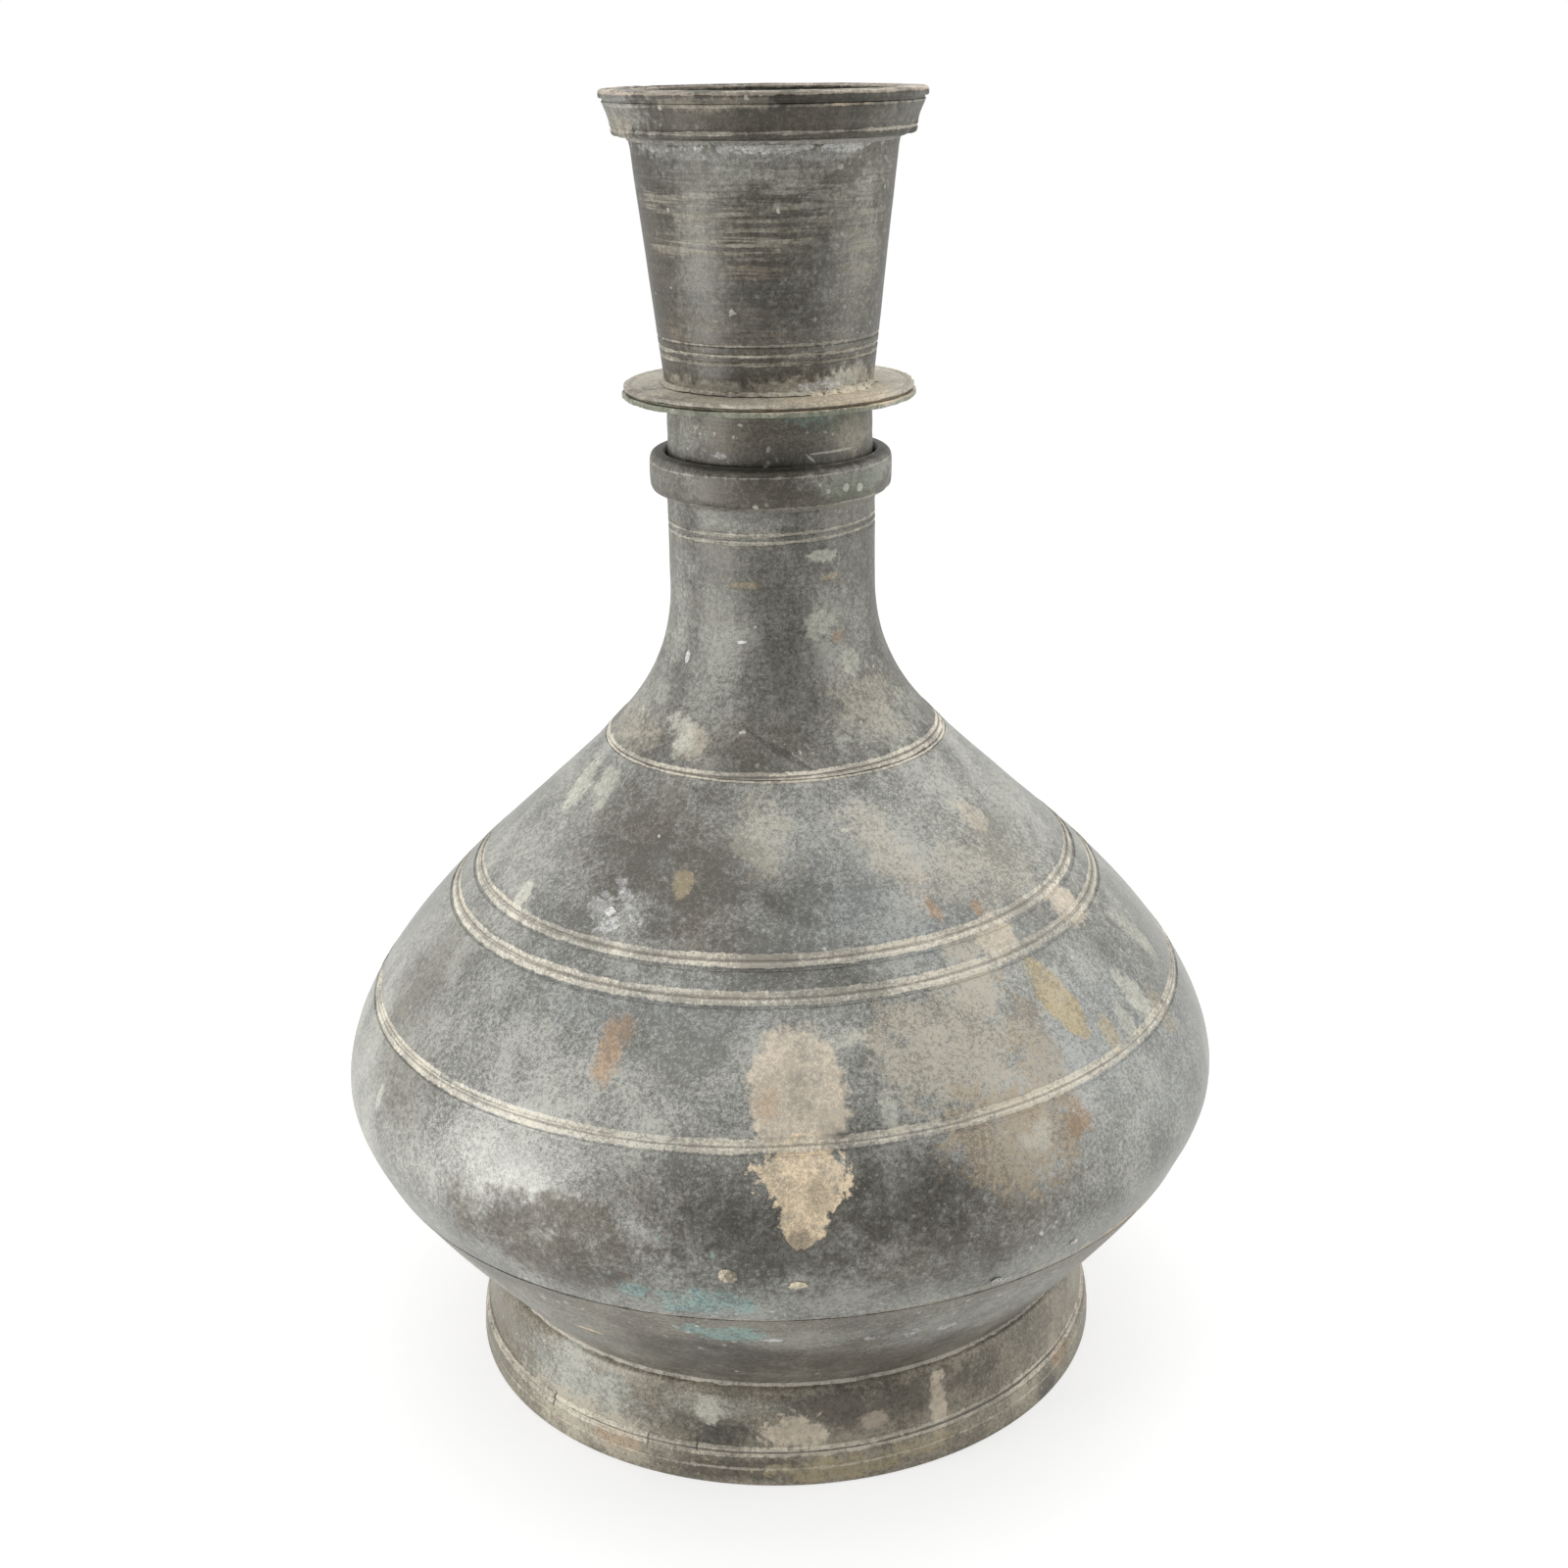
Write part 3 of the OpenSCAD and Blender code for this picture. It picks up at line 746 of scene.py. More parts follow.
def foot_patina():
    p = Patina("Foot patina", (0.13, 0.117, 0.09), (0.24, 0.217, 0.168), (0.39, 0.352, 0.277), rings=0.35)
    p.strewn("cream", "haze_and_sheen", "olive")
    p.stains("dark", (7, 21, 12, 7, 1.0, 0.5), (-12, 14, 10, 4, 1.0, 0.5), (53, 4, 5, 4, 1.0, 0.4))
    p.stains("brown", (20, 20, 26, 6, 1.0, 0.6), (-5, 5, 30, 3, 1.0, 0.5), (-40, 7, 9, 4, 0.6, 0.5),
        (-25, 15, 11, 7, 0.7, 0.6))
    p.stains("haze_and_sheen", (-42, 17, 20, 10, 1.0, 0.6), (-12, 22, 14, 3, 0.5, 0.5))
    p.stains("sand", (-38, 7, 26, 6, 1.0, 0.5), (40, 7, 18, 5, 0.8, 0.5), (62, 16, 16, 9, 0.6, 0.6))
    p.stains("pale", (-14, 21, 3.5, 4, 1.0, 0.25, 0.4))
    p.stains("tan", (1, 15, 8, 5, 1.0, 0.25, 0.6), (27, 17, 2.5, 8, 1.0, 0.25, 0.5),
        (15, 16, 4, 2.5, 0.6, 0.25, 0.5))
    p.stains("olive", (8, 4.5, 16, 3, 0.8, 0.25, 0.6), (24, 6, 10, 2.5, 0.7, 0.25, 0.6))
    p.stains("rust", (-30, 6.5, 8, 2.5, 0.5, 0.25, 0.5), (60, 8, 6, 3, 0.5, 0.25, 0.5))
    p.lines([Line(9.6, 1.0, 1.3, 0.1, 0.7, 0.8), Line(5.2, 1.0, 0.3, 0.3, 0.5)])
    p.stains("dark", (-46, 9, 0.35, 2.4, 1.0, 0.25, 0.1), (-25, 8.5, 0.3, 2.2, 1.0, 0.25, 0.1),
        (-16, 10.5, 0.3, 1.8, 1.0, 0.25, 0.1))
    p.speckles("olive", 420.0, 0.3, 0.3, p.band(1.0, 7.0), 0.8)
    p.speckles("pale", 260.0, 0.2, 0.08, None, 0.8)
    return p.done()


def bowl_patina():
    p = Patina("Bowl patina", (0.125, 0.114, 0.093), (0.222, 0.206, 0.172), (0.36, 0.34, 0.29), rings=0.5)
    p.strewn()
    p.stains("dark", (-12, 45, 26, 9, 0.8, 0.6))
    p.stains("brown", (10, 42, 24, 8, 0.8, 0.6))
    p.stains("haze_and_sheen", (-45, 45, 30, 16, 0.6, 0.6), (28, 54, 26, 10, 0.9, 0.6),
        (5, 58, 16, 5, 0.6, 0.5, 0.6))
    p.stains("verdigris", (-8, 61, 9, 3.4, 0.8, 0.25, 0.7))
    p.stains("white", (11, 55.5, 2.2, 1.2, 1.0, 0.25, 0.5), (17, 54, 1.8, 2.4, 1.0, 0.25, 0.5),
        (-2, 58, 2.5, 0.8, 1.0, 0.25, 0.5), (23, 52, 3, 1.4, 0.8, 0.25, 0.6))
    p.stains("cream", (-30, 48, 4, 0.8, 0.8, 0.25, 0.5))
    p.speckles("white", 330.0, 0.26, 0.22, p.band(50.0, 68.0), 0.6)
    p.speckles("pale", 240.0, 0.2, 0.07)
    return p.done()


def belly_patina():
    tones = ((0.14, 0.139, 0.122), (0.27, 0.27, 0.247), (0.45, 0.447, 0.407))
    p = Patina("Belly patina", *tones, rings=0.12, rough=0.38)
    p.strewn("pale", "haze_and_sheen", "sand", 85.0)
    p.stains("haze_and_sheen", (-76, 158, 24, 30, 0.5, 0.7), (60, 164, 34, 20, 0.7, 0.7, 0.5),
        (30, 166, 18, 14, 0.5, 0.7, 0.6), (45, 138, 26, 12, 0.4, 0.7, 0.5),
        (-2, 168, 10, 12, 0.6, 0.6, 0.9), (-10, 128, 22, 9, 0.4, 0.7), (-20, 118, 24, 9, 0.45, 0.7),
        (4, 133, 9, 8, 0.5, 0.7, 0.9), (-78, 105, 26, 24, 0.4, 0.8), (-62, 84, 34, 12, 0.45, 0.8),
        (4, 75, 30, 3.5, 0.6, 0.6, 0.9), (32, 78, 14, 6, 0.6, 0.6, 0.9))
    p.stains("blue", (12, 158, 24, 10, 0.7, 0.7), (34, 150, 22, 7, 0.7, 0.7), (47, 122, 26, 12, 0.7, 0.7),
        (-20, 138, 34, 6, 0.5, 0.7), (60, 104, 26, 16, 0.5, 0.7))
    p.stains("brown", (-34, 168, 20, 13, 0.75, 0.6, 0.5), (-15, 160, 18, 11, 0.8, 0.6, 0.5),
        (-66, 126, 12, 12, 0.6, 0.7), (-58, 106, 14, 10, 0.5, 0.7), (0, 98, 40, 12, 0.6, 0.6),
        (-28, 87, 30, 9, 0.85, 0.6, 0.5), (-25, 94, 13, 6, 0.9, 0.4), (18, 92, 34, 14, 0.8, 0.6),
        (-26, 79, 18, 5, 0.7, 0.6, 0.5))
    p.stains("dark", (-31, 92.5, 10, 4, 0.5, 0.6, 0.6), (-33, 93.5, 7, 3, 0.6, 0.4, 0.5),
        (13, 110, 9, 7, 0.5, 0.6, 0.5), (-2, 92, 22, 9, 0.75, 0.6, 0.5), (14, 102, 18, 11, 0.7, 0.5, 0.5),
        (6, 146, 14, 5, 0.5, 0.6, 0.6), (2, 160, 10, 7, 0.5, 0.6, 0.6))
    p.stains("sand", (24, 128, 19, 12, 0.72, 0.2, 0.6), (-4, 172, 6, 8, 0.4, 0.4, 0.6),
        (32, 138, 5, 7, 0.8, 0.25, 0.4), (33, 146, 6, 3, 0.7, 0.25, 0.4), (50, 158, 16, 9, 0.5, 0.5, 0.7))
    p.stains("clay", (30, 107, 17, 10, 0.85, 0.25, 0.6), (24, 114, 9, 7, 0.95, 0.3, 0.6),
        (37, 122, 7, 13, 0.6, 0.3, 0.6), (33, 113, 6, 5, 0.8, 0.4, 0.6))
    p.stains("tan", (2, 122.5, 12, 14.5, 1.0, 0.12, 0.16), (61.5, 144.5, 6.5, 5, 1.0, 0.12, 0.25),
        (40, 146, 6.5, 4, 0.9, 0.15, 0.35), (26, 166, 6, 9, 0.4, 0.5, 0.9, 0.5),
        (57, 168, 4, 3.5, 0.5, 0.3, 0.5), (32, 116, 8, 5, 0.15, 0.4, 0.6))
    p.stains("olive", (45, 131, 5.5, 8.5, 1.0, 0.12, 0.25, 0.25), (51, 119.5, 3, 5, 0.7, 0.2),
        (-21, 162, 2.5, 2.5, 0.8, 0.25, 0.5), (66, 116, 4, 6, 0.5, 0.3, 0.4))
    p.stains("rust", (-24.8, 129.5, 3.2, 6, 0.75, 0.4, 0.35), (-23.2, 133.5, 3.4, 3, 0.6, 0.4, 0.35),
        (40, 152.3, 1.8, 1.5, 0.8, 0.25, 0.4), (31, 154.3, 1.6, 2.2, 0.6, 0.25, 0.4),
        (39, 108, 3.5, 4, 0.5, 0.25, 0.4), (-2, 122.5, 3.5, 3, 0.4, 0.4, 0.4))
    p.stains("pale", (-70, 173, 5, 5, 0.8, 0.2, 0.3, 0.5), (-59, 175.5, 4.4, 5, 0.7, 0.2, 0.3, 0.5),
        (-57.5, 151.5, 2.8, 3, 0.85, 0.15, 0.2, 0.3), (-62, 100, 1.6, 3.4, 0.6, 0.25, 0.2),
        (61, 123, 4, 5.5, 0.75, 0.2, 0.3, 0.2), (55.5, 120, 3, 4, 0.6, 0.2),
        (74, 131, 4, 10, 0.6, 0.3, 0.4, 0.4), (13.5, 120, 2, 4.5, 0.5, 0.3),
        (32, 108, 5, 4, 0.6, 0.3, 0.6), (9, 134, 4, 2, 0.7, 0.3, 0.6),
        (-4, 170, 7, 5, 0.35, 0.4, 1.4, 0.8), (30, 70.2, 34, 0.9, 0.8, 0.4, 0.55))
    p.stains("white", (-34.5, 153.5, 5, 2.6, 0.5, 0.3, 1.5, 1.2),
        (-30.5, 156, 2.4, 3, 0.4, 0.3, 1.5, 1.2))
    p.stains("cream", (2.2, 108.5, 11.5, 7.5, 0.95, 0.06, 0.42), (2, 98.5, 5.5, 6, 0.95, 0.08, 0.35),
        (-6.5, 85.3, 2.1, 2, 1.0, 0.1, 0.2), (1.3, 82.5, 2, 1.1, 1.0, 0.1),
        (50, 70.0, 16, 0.7, 0.7, 0.3, 0.6))
    p.stains("brown", (1.5, 94.5, 2.6, 2.2, 0.6, 0.3, 0.5), (4, 104, 2.5, 3, 0.35, 0.3, 0.8))
    p.stains("verdigris", (-18, 77, 3.5, 2.6, 0.7, 0.25, 0.7), (-9.5, 75, 12, 3.6, 0.75, 0.4, 0.9),
        (-12, 72.5, 4.5, 1.6, 0.85, 0.25, 0.6))
    p.stains("clay", (31, 114.5, 6, 5, 0.95, 0.3, 0.5))
    p.lines([
        Line(114.3, 1.5, 1.5, 0.15, 0.75, 0.5), Line(141.7, 0.8, 1.4, 0.35, 0.85, 0.4),
        Line(148.5, 0.8, 1.25, 0.3, 0.85, 0.4),
    ])
    p.speckles("haze_and_sheen", 620.0, 0.34, 0.5, p.graph.span(p.turn, -35.0, 40.0, 0.12, 0.5))
    p.speckles("white", 420.0, 0.3, 0.35, p.band(69.0, 73.0, 1.0, 2.5), 0.6)
    green = p.graph.times(p.band(72.0, 96.0, 5.0), p.spot(-14, 82, 22, 15))
    p.speckles("verdigris", 300.0, 0.25, 0.4, green, 0.75)
    p.speckles("white", 300.0, 0.3, 0.5, p.spot(32, 78, 16, 9), 0.8)
    p.speckles("white", 520.0, 0.32, 0.5, p.spot(-33, 154, 9, 6), 0.6)
    p.speckles("pale", 170.0, 0.12, 0.05)
    return p.done(0.24)


def neck_patina():
    tones = ((0.095, 0.09, 0.077), (0.18, 0.175, 0.152), (0.31, 0.30, 0.265))
    p = Patina("Neck patina", *tones, rings=0.22, rough=0.56)
    p.strewn("pale", "haze_and_sheen", "sand")
    p.stains("dark", (-8, 224, 7, 14, 0.3, 0.6), (8, 205, 8, 14, 0.6, 0.6, 0.5),
        (-45, 205, 6, 12, 0.5, 0.6), (28, 238, 1.4, 0.9, 1.0, 0.25, 0.4))
    p.stains("brown", (-10, 190, 14, 5, 0.6, 0.6, 0.5), (10, 252, 16, 4, 0.6, 0.6))
    # The haze patches at the sides are partly pale patina and partly painted sheen where the side lamps light
    # the neck; the tall one at -32 degrees is a painted highlight
    p.stains("haze_and_sheen", (-32, 205, 8, 18, 0.5, 0.7, 0.4), (40, 215, 9, 16, 0.55, 0.6, 0.6),
        (50, 190, 16, 6, 0.6, 0.6, 0.6), (-78, 195, 14, 12, 0.6, 0.7), (-68, 222, 8, 22, 0.6, 0.6),
        (-20, 246, 14, 3, 0.5, 0.6, 0.8))
    p.stains("sand", (45, 196, 10, 8, 0.5, 0.5, 0.6), (-33, 189, 4.5, 3.5, 0.7, 0.3, 0.5),
        (-66, 188, 12, 4, 0.6, 0.4, 0.5))
    p.stains("pale", (-40, 191, 3.5, 4.5, 0.8, 0.3, 0.5, 0.5), (26, 218, 4.5, 3, 0.7, 0.3, 0.6),
        (42, 207, 2.8, 4, 0.7, 0.2), (28, 236, 4, 1.6, 0.8, 0.25, 0.6))
    p.stains("olive", (32, 230, 2.4, 0.9, 0.8, 0.25, 0.3, -1.5),
        (-14, 229, 4.5, 0.9, 0.6, 0.25, 0.4, -1.0))
    p.stains("white", (-17, 214, 1.1, 0.4, 1.0, 0.25, 0.3, -0.8), (-50, 208, 0.8, 1.6, 0.8))
    p.stains("rust", (36, 214, 1.6, 1.6, 0.5, 0.4))
    p.speckles("pale", 620.0, 0.36, 0.6, p.spot(3, 188, 8, 3), 0.8)
    p.stains("dark", *((2.6 * i - 5, 190.5 - 0.8 * i, 0.42, 3.4, 1.0, 0.15, 0.0, 1.5) for i in range(6)))
    p.lines([Line(240.1, 0.8, 0.35, 0.5, 0.6), Line(242.1, 0.8, 0.35, 0.4, 0.6),
             Line(183.3, 0.8, 1.0, 0.4, 0.85, 0.7)])
    p.speckles("haze_and_sheen", 560.0, 0.32, 0.4, p.graph.span(p.turn, -20.0, 40.0, 0.1, 0.4))
    p.speckles("pale", 260.0, 0.16, 0.07)
    return p.done()


def collar_patina():
    p = Patina("Collar patina", (0.068, 0.062, 0.048), (0.12, 0.111, 0.09), (0.19, 0.18, 0.152), rings=0.4)
    p.strewn("pale", "haze_and_sheen", "sand")
    p.stains("brown", (0, 254, 20, 4, 0.5, 0.6), (36.5, 253.8, 0.5, 0.5, 1.0, 0.1, 0.1),
        (45, 253.2, 0.6, 0.6, 1.0, 0.1, 0.1))
    # Both haze patches are partly pale patina and partly painted sheen on the collar's lit sides
    p.stains("haze_and_sheen", (50, 256, 16, 3, 0.5, 0.6, 0.6), (-55, 256, 14, 4, 0.25, 0.6, 0.5))
    p.stains("green", (44, 254, 9, 3, 0.5, 0.5, 0.6))
    p.stains("pale", (36.5, 253.8, 1.0, 1.0, 0.8, 0.1, 0.1), (45, 253.2, 1.1, 1.1, 0.8, 0.1, 0.1),
        (27, 253.5, 0.6, 0.6, 0.7, 0.1, 0.1), (-2, 251, 0.6, 0.6, 0.5, 0.25, 0.2))
    p.lines([Line(249.6, 0.4, 0.3, 0.4, 0.6), Line(257.6, 0.4, 0.2, 0.2, 0.4)])
    p.speckles("pale", 300.0, 0.2, 0.1)
    return p.done()


def spigot_patina():
    p = Patina("Spigot patina", (0.066, 0.06, 0.045), (0.125, 0.115, 0.09), (0.21, 0.197, 0.163), rings=0.45)
    p.strewn("cream", "haze_and_sheen", "sand")
    p.stains("dark", (0, 262, 26, 3, 0.6, 0.5, 0.5))
    p.stains("brown", (-10, 266, 14, 4, 0.5, 0.6))
    p.stains("green", (38, 270, 9, 3.5, 0.75, 0.4, 0.5))
    p.stains("verdigris", (20, 271.5, 7, 1.8, 0.25, 0.4, 0.6))
    p.stains("sand", (55, 267, 8, 5, 0.6, 0.5, 0.5))
    p.stains("haze_and_sheen", (-60, 266, 9, 5, 0.5, 0.6, 0.5))
    p.stains("white", (-30, 262, 2.4, 0.6, 0.4, 0.25, 1.4))
    p.stains("pale", (36, 262.3, 7, 0.3, 0.9, 0.25, 0.15), (22, 261.2, 0.5, 1.2, 0.9, 0.25, 0.2, 1.0))
    p.speckles("white", 360.0, 0.3, 0.35, p.spot(-25, 263, 12, 4), 0.8)
    for turn, height, width in ((-38, 267.8, 5), (-14, 267.4, 7), (31, 266.7, 3.5)):
        p.speckles("tan", 560.0, 0.4, 0.7, p.spot(turn, height, width, 0.9), 0.85)
    p.speckles("pale", 300.0, 0.22, 0.14)
    return p.done()


def flange_patina():
    tones = ((0.29, 0.262, 0.205), (0.52, 0.475, 0.385), (0.70, 0.65, 0.54))
    p = Patina("Flange patina", *tones, rings=0.2, metal=0.1)
    p.stains("cream", (35, 277.4, 16, 1.5, 0.7, 0.5, 0.4), (50, 275.2, 18, 0.35, 0.9, 0.3, 0.2),
        (0, 275.2, 18, 0.3, 0.6, 0.3))
    p.stains("sand", (0, 277.4, 40, 1.2, 0.4, 0.5))
    p.stains("green", (-30, 274.2, 26, 1.0, 0.85, 0.3, 0.6), (25, 274.0, 22, 1.0, 0.85, 0.3, 0.6),
        (75, 274.0, 20, 1.0, 0.7, 0.3), (-80, 274.4, 20, 1.2, 0.7, 0.3),
        (150, 274.0, 34, 1.0, 0.8, 0.3, 0.5), (-150, 274.0, 34, 1.0, 0.8, 0.3, 0.5))
    p.stains("dark", (-55, 276.4, 20, 0.6, 0.5, 0.3, 0.4))
    p.speckles("cream", 420.0, 0.3, 0.3, None, 0.6)
    p.speckles("brown", 330.0, 0.26, 0.2, None, 0.5)
    return p.done()


def funnel_patina():
    tones = ((0.055, 0.049, 0.037), (0.103, 0.095, 0.073), (0.185, 0.175, 0.143))
    p = Patina("Funnel patina", *tones, rings=0.7)
    p.strewn("sand", "haze_and_sheen", "olive")
    p.stains("dark", (-2, 300, 12, 12, 0.6, 0.6), (-24, 296, 8, 16, 0.4, 0.6),
        (14, 318, 10, 14, 0.5, 0.6, 0.5))
    p.stains("brown", (-60, 300, 7, 16, 0.5, 0.6), (0, 330, 24, 5, 0.4, 0.6))
    # The tall haze at -32 degrees is a painted highlight, and the tall one at 42 degrees is partly patina and
    # partly painted sheen on the right side; the bands under the rim are pale patina
    p.stains("haze_and_sheen", (-32, 310, 6, 26, 0.3, 0.7, 0.5), (42, 306, 13, 24, 0.3, 0.6, 0.6),
        (-10, 332, 20, 4, 0.4, 0.6, 0.6), (0, 335, 26, 2, 0.6, 0.5, 0.6))
    p.stains("pale", (50, 280.5, 9, 3.4, 0.5, 0.5, 0.8), (20, 279, 20, 2, 0.6, 0.5, 0.8),
        (-30, 279, 14, 1.5, 0.5, 0.5, 0.8))
    p.stains("white", (40, 279.2, 5.5, 2.5, 0.75, 0.3, 0.9), (-2, 336.9, 14, 0.9, 0.6, 0.3, 1.2),
        (36, 336.8, 9, 0.8, 0.5, 0.3, 1.2), (-48, 336.6, 8, 0.7, 0.35, 0.3, 1.2))
    p.stains("sand", (-40, 278.4, 20, 2.4, 0.7, 0.4, 0.6), (0, 278.6, 20, 2.6, 0.8, 0.4, 0.6),
        (45, 279, 20, 3, 0.8, 0.4, 0.6))
    p.stains("sand", (-46, 324, 13, 3, 0.8, 0.5, 0.5), (-44, 314, 12, 3, 0.8, 0.5, 0.5),
        (-8, 315, 13, 4.5, 0.9, 0.5, 0.5), (-22, 320.5, 12, 3, 0.7, 0.5, 0.5),
        (22, 322, 14, 9, 0.5, 0.6, 0.5), (50, 312, 10, 16, 0.5, 0.6, 0.5), streaked=True)
    p.stains("clay", (-7, 308.2, 11, 1.8, 0.9, 0.5, 0.6), (-30, 292, 18, 5, 0.5, 0.6, 0.6), streaked=True)
    p.stains("haze_and_sheen", (0, 328, 40, 6, 0.4, 0.6, 0.5), streaked=True)
    p.stains("dark", (10, 296, 26, 14, 0.5, 0.6, 0.5), streaked=True)
    p.stains("pale", (42, 280, 6, 3, 1.0, 0.3, 0.6))
    p.stains("white", (27, 279, 7, 1.4, 0.7, 0.3, 0.8))
    p.lines([
        Line(285.2, 0.2, 0.38, 0.5, 0.75), Line(287.2, 0.2, 0.38, 0.5, 0.75),
        Line(289.8, 0.2, 0.3, 0.3, 0.55),
    ])
    p.speckles("white", 520.0, 0.36, 0.45, p.band(334.5, 338.5, 1.2, 2.5), 0.6)
    p.speckles("haze_and_sheen", 560.0, 0.34, 0.4, p.graph.span(p.turn, -20.0, 40.0, 0.1, 0.5))
    p.speckles("pale", 260.0, 0.16, 0.06)
    return p.done()


def rim_patina():
    tones = ((0.037, 0.033, 0.025), (0.068, 0.062, 0.048), (0.126, 0.118, 0.096))
    p = Patina("Rim patina", *tones, rings=0.7, rough=0.52)
    p.strewn("sand", "haze_and_sheen", "olive")
    p.stains("brown", (0, 343, 40, 4, 0.5, 0.6))
    # Both haze patches are partly pale patina and partly painted sheen on the rim's lit sides
    p.stains("haze_and_sheen", (-65, 345, 14, 6, 0.6, 0.6, 0.6), (66, 345, 12, 5, 0.2, 0.6, 0.6))
    p.stains("sand", (-66, 341, 8, 3, 0.6, 0.4, 0.6), (-20, 347, 16, 1.6, 0.5, 0.4, 0.7))
    p.stains("cream", (30, 346.6, 6, 0.4, 0.6, 0.25, 0.4))
    p.stains("green", (10, 349.8, 30, 0.6, 0.5, 0.4, 0.4))
    p.lines([Line(340.4, 0.2, 0.3, 0.6, 0.6), Line(346.4, 0.2, 0.22, 0.1, 0.3)])
    # Painted highlight: a pale line along the lip's top outer edge where light catches it, laid as a scribed
    # line's filling
    p.lines([Line(349.35, 0.1, 0.4, 0.4, 0.8)], (0.62, 0.53, 0.44))
    p.speckles("pale", 300.0, 0.2, 0.12)
    return p.done()


def crust_patina(name, colour, metal=0.0):
    """Lumpy lime or solder, paler on its grains."""
    dark = tuple(0.45 * c for c in colour)
    light = tuple(min(1.0, 1.25 * c) for c in colour)
    p = Patina(name, dark, colour, light, rings=0.1, cloud=1.3, rough=0.8, metal=metal)
    return p.done(0.6)


# ---- Pieces ----

# Bore of the flange's plates and of the collar, and the leg of the small solder beads
PLATE_BORE = 27.2 * MM
SOCKET_BORE = 27.4 * MM
LEG = 1.5 * MM


def shifted(base, *steps, unit=MM):
    """Points at steps (outwards, upwards) from a base point."""
    return [(base[0] + out * unit, base[1] + up * unit) for out, up in steps]


def curved(points, steps):
    return [tuple(p) for p in bezier(points, steps)[0]]


def solder(name, section, look_of_it, body, node, steps=160, lumps=(2, 0.4), sharp=60):
    """Turns a bead of solder in its node's place; lumps are their size and depth in mm."""
    piece = turned(name, section, steps)
    if lumps:
        roughen(piece, lumps[0] * MM, lumps[1] * MM)
    finished(piece, crust_patina(*look_of_it), body, [node], sharp)


def line_pairs():
    """The belly's scribed lines as (height, width, depth)."""
    width, depth = sizes().line_width, sizes().line_depth
    return [(h * MM, width, depth) for h in (113.2, 115.6, 140.7, 142.7, 147.5, 149.5)]


def lean_lines(piece, outline):
    """Slides the skin along the outline so that the scribed lines run as slanted as by hand."""
    heights = (80 * MM, 114 * MM, 142 * MM, 172 * MM, 182 * MM)
    tilts = (0.0, 1.5 * MM, 0.8 * MM, 0.8 * MM, 0.0)
    for vertex in piece.data.vertices:
        radius = math.hypot(vertex.co.x, vertex.co.y)
        depth = (outline.at(vertex.co.z)[0] - radius) * 0.8
        tilt = float(np.interp(vertex.co.z, heights, tilts))
        if depth > 0.8 * MM or tilt == 0.0:
            continue
        moved, height = outline.at(vertex.co.z + tilt * vertex.co.x / radius, max(depth, 0.0))
        vertex.co = (vertex.co.x / radius * moved, vertex.co.y / radius * moved, height)


class BOTTLE_OT_foot(bpy.types.Operator):
    """Turn the flared foot ring and the solder at its top"""

    bl_idname = "bottle.foot"
    bl_label = "Foot"

    def execute(self, context):
        s, foot, outline = sizes(), reach("foot_ring"), Outline()
        top, joint, waist = s.joint_height, s.joint_radius, s.waist_radius
        lip, inner = 3 * MM, waist - 2.4 * MM
        flare = ((foot, lip), (foot, lip + 0.22 * top), (waist, 0.4 * top), (waist, 0.62 * top))
        shoulder = ((waist, 0.62 * top), (waist, 0.84 * top), (waist, top), (joint - 0.1 * MM, top))
        section = shifted((foot, 0.0), (-0.5, 0.0), (-0.1, 0.3), (0, 0.9))
        section += self.scribed(curved(flare, 22)) + curved(shoulder, 14)[1:]
        section += [outline.at(h, -0.1 * MM) for h in np.linspace(top, 0.86 * top, 5)][1:]
        section += [(joint - 5 * MM, 0.68 * top), (inner, 0.45 * top), (inner, 0.0)]
        piece = turned("foot", section)

        def skin(fade, end):
            """Keeps the outside below a height, fading out towards the ground."""
            return lambda r, z: min(1.0, z / fade) if r > inner + MM and z < end else 0.0

        roughen(piece, 26 * MM, 0.35 * MM, skin(4 * MM, 0.97 * top))
        roughen(piece, 3.5 * MM, 0.16 * MM, skin(2 * MM, math.inf))
        finished(piece, foot_patina(), "bottle", ["foot_ring"])
        look_of_it = ("Foot solder", (0.50, 0.47, 0.40))
        bead = self.bead(outline, top)
        solder("foot_joint_solder", bead, look_of_it, "bottle", "foot_solder", TURN_STEPS, (2.2, 0.9))
        return {"FINISHED"}

    def scribed(self, points):
        """Cuts the foot's line pair into its curve."""
        line, width, depth = 9.6 * MM, sizes().line_width, sizes().line_depth
        radii = np.array(points)
        out = []
        for centre in (line - MM, line + MM):
            for across, dip in groove(0.6, 0.4, 0.15, 0.0):
                height = centre + across * width
                out.append((float(np.interp(height, radii[:, 1], radii[:, 0])) - dip * depth, height))
        spare = [p for p in points if abs(p[1] - line) > MM + 0.7 * width]
        return sorted(out + spare, key=lambda p: p[1])

    def bead(self, outline, height):
        """Half section of a solder bead in the corner between the foot's top and the bowl."""
        wall = outline.at(height)[0]
        section = [outline.at(height - 0.35 * LEG, 0.3 * MM), (wall + 0.2 * MM, height - 0.5 * LEG)]
        section += shifted((wall, height), (1, -0.45), (0.9, 0), (0.8, 0.4), unit=LEG)
        return section + [outline.at(height + LEG, -0.1 * MM), outline.at(height + 0.9 * LEG, 0.4 * MM)]


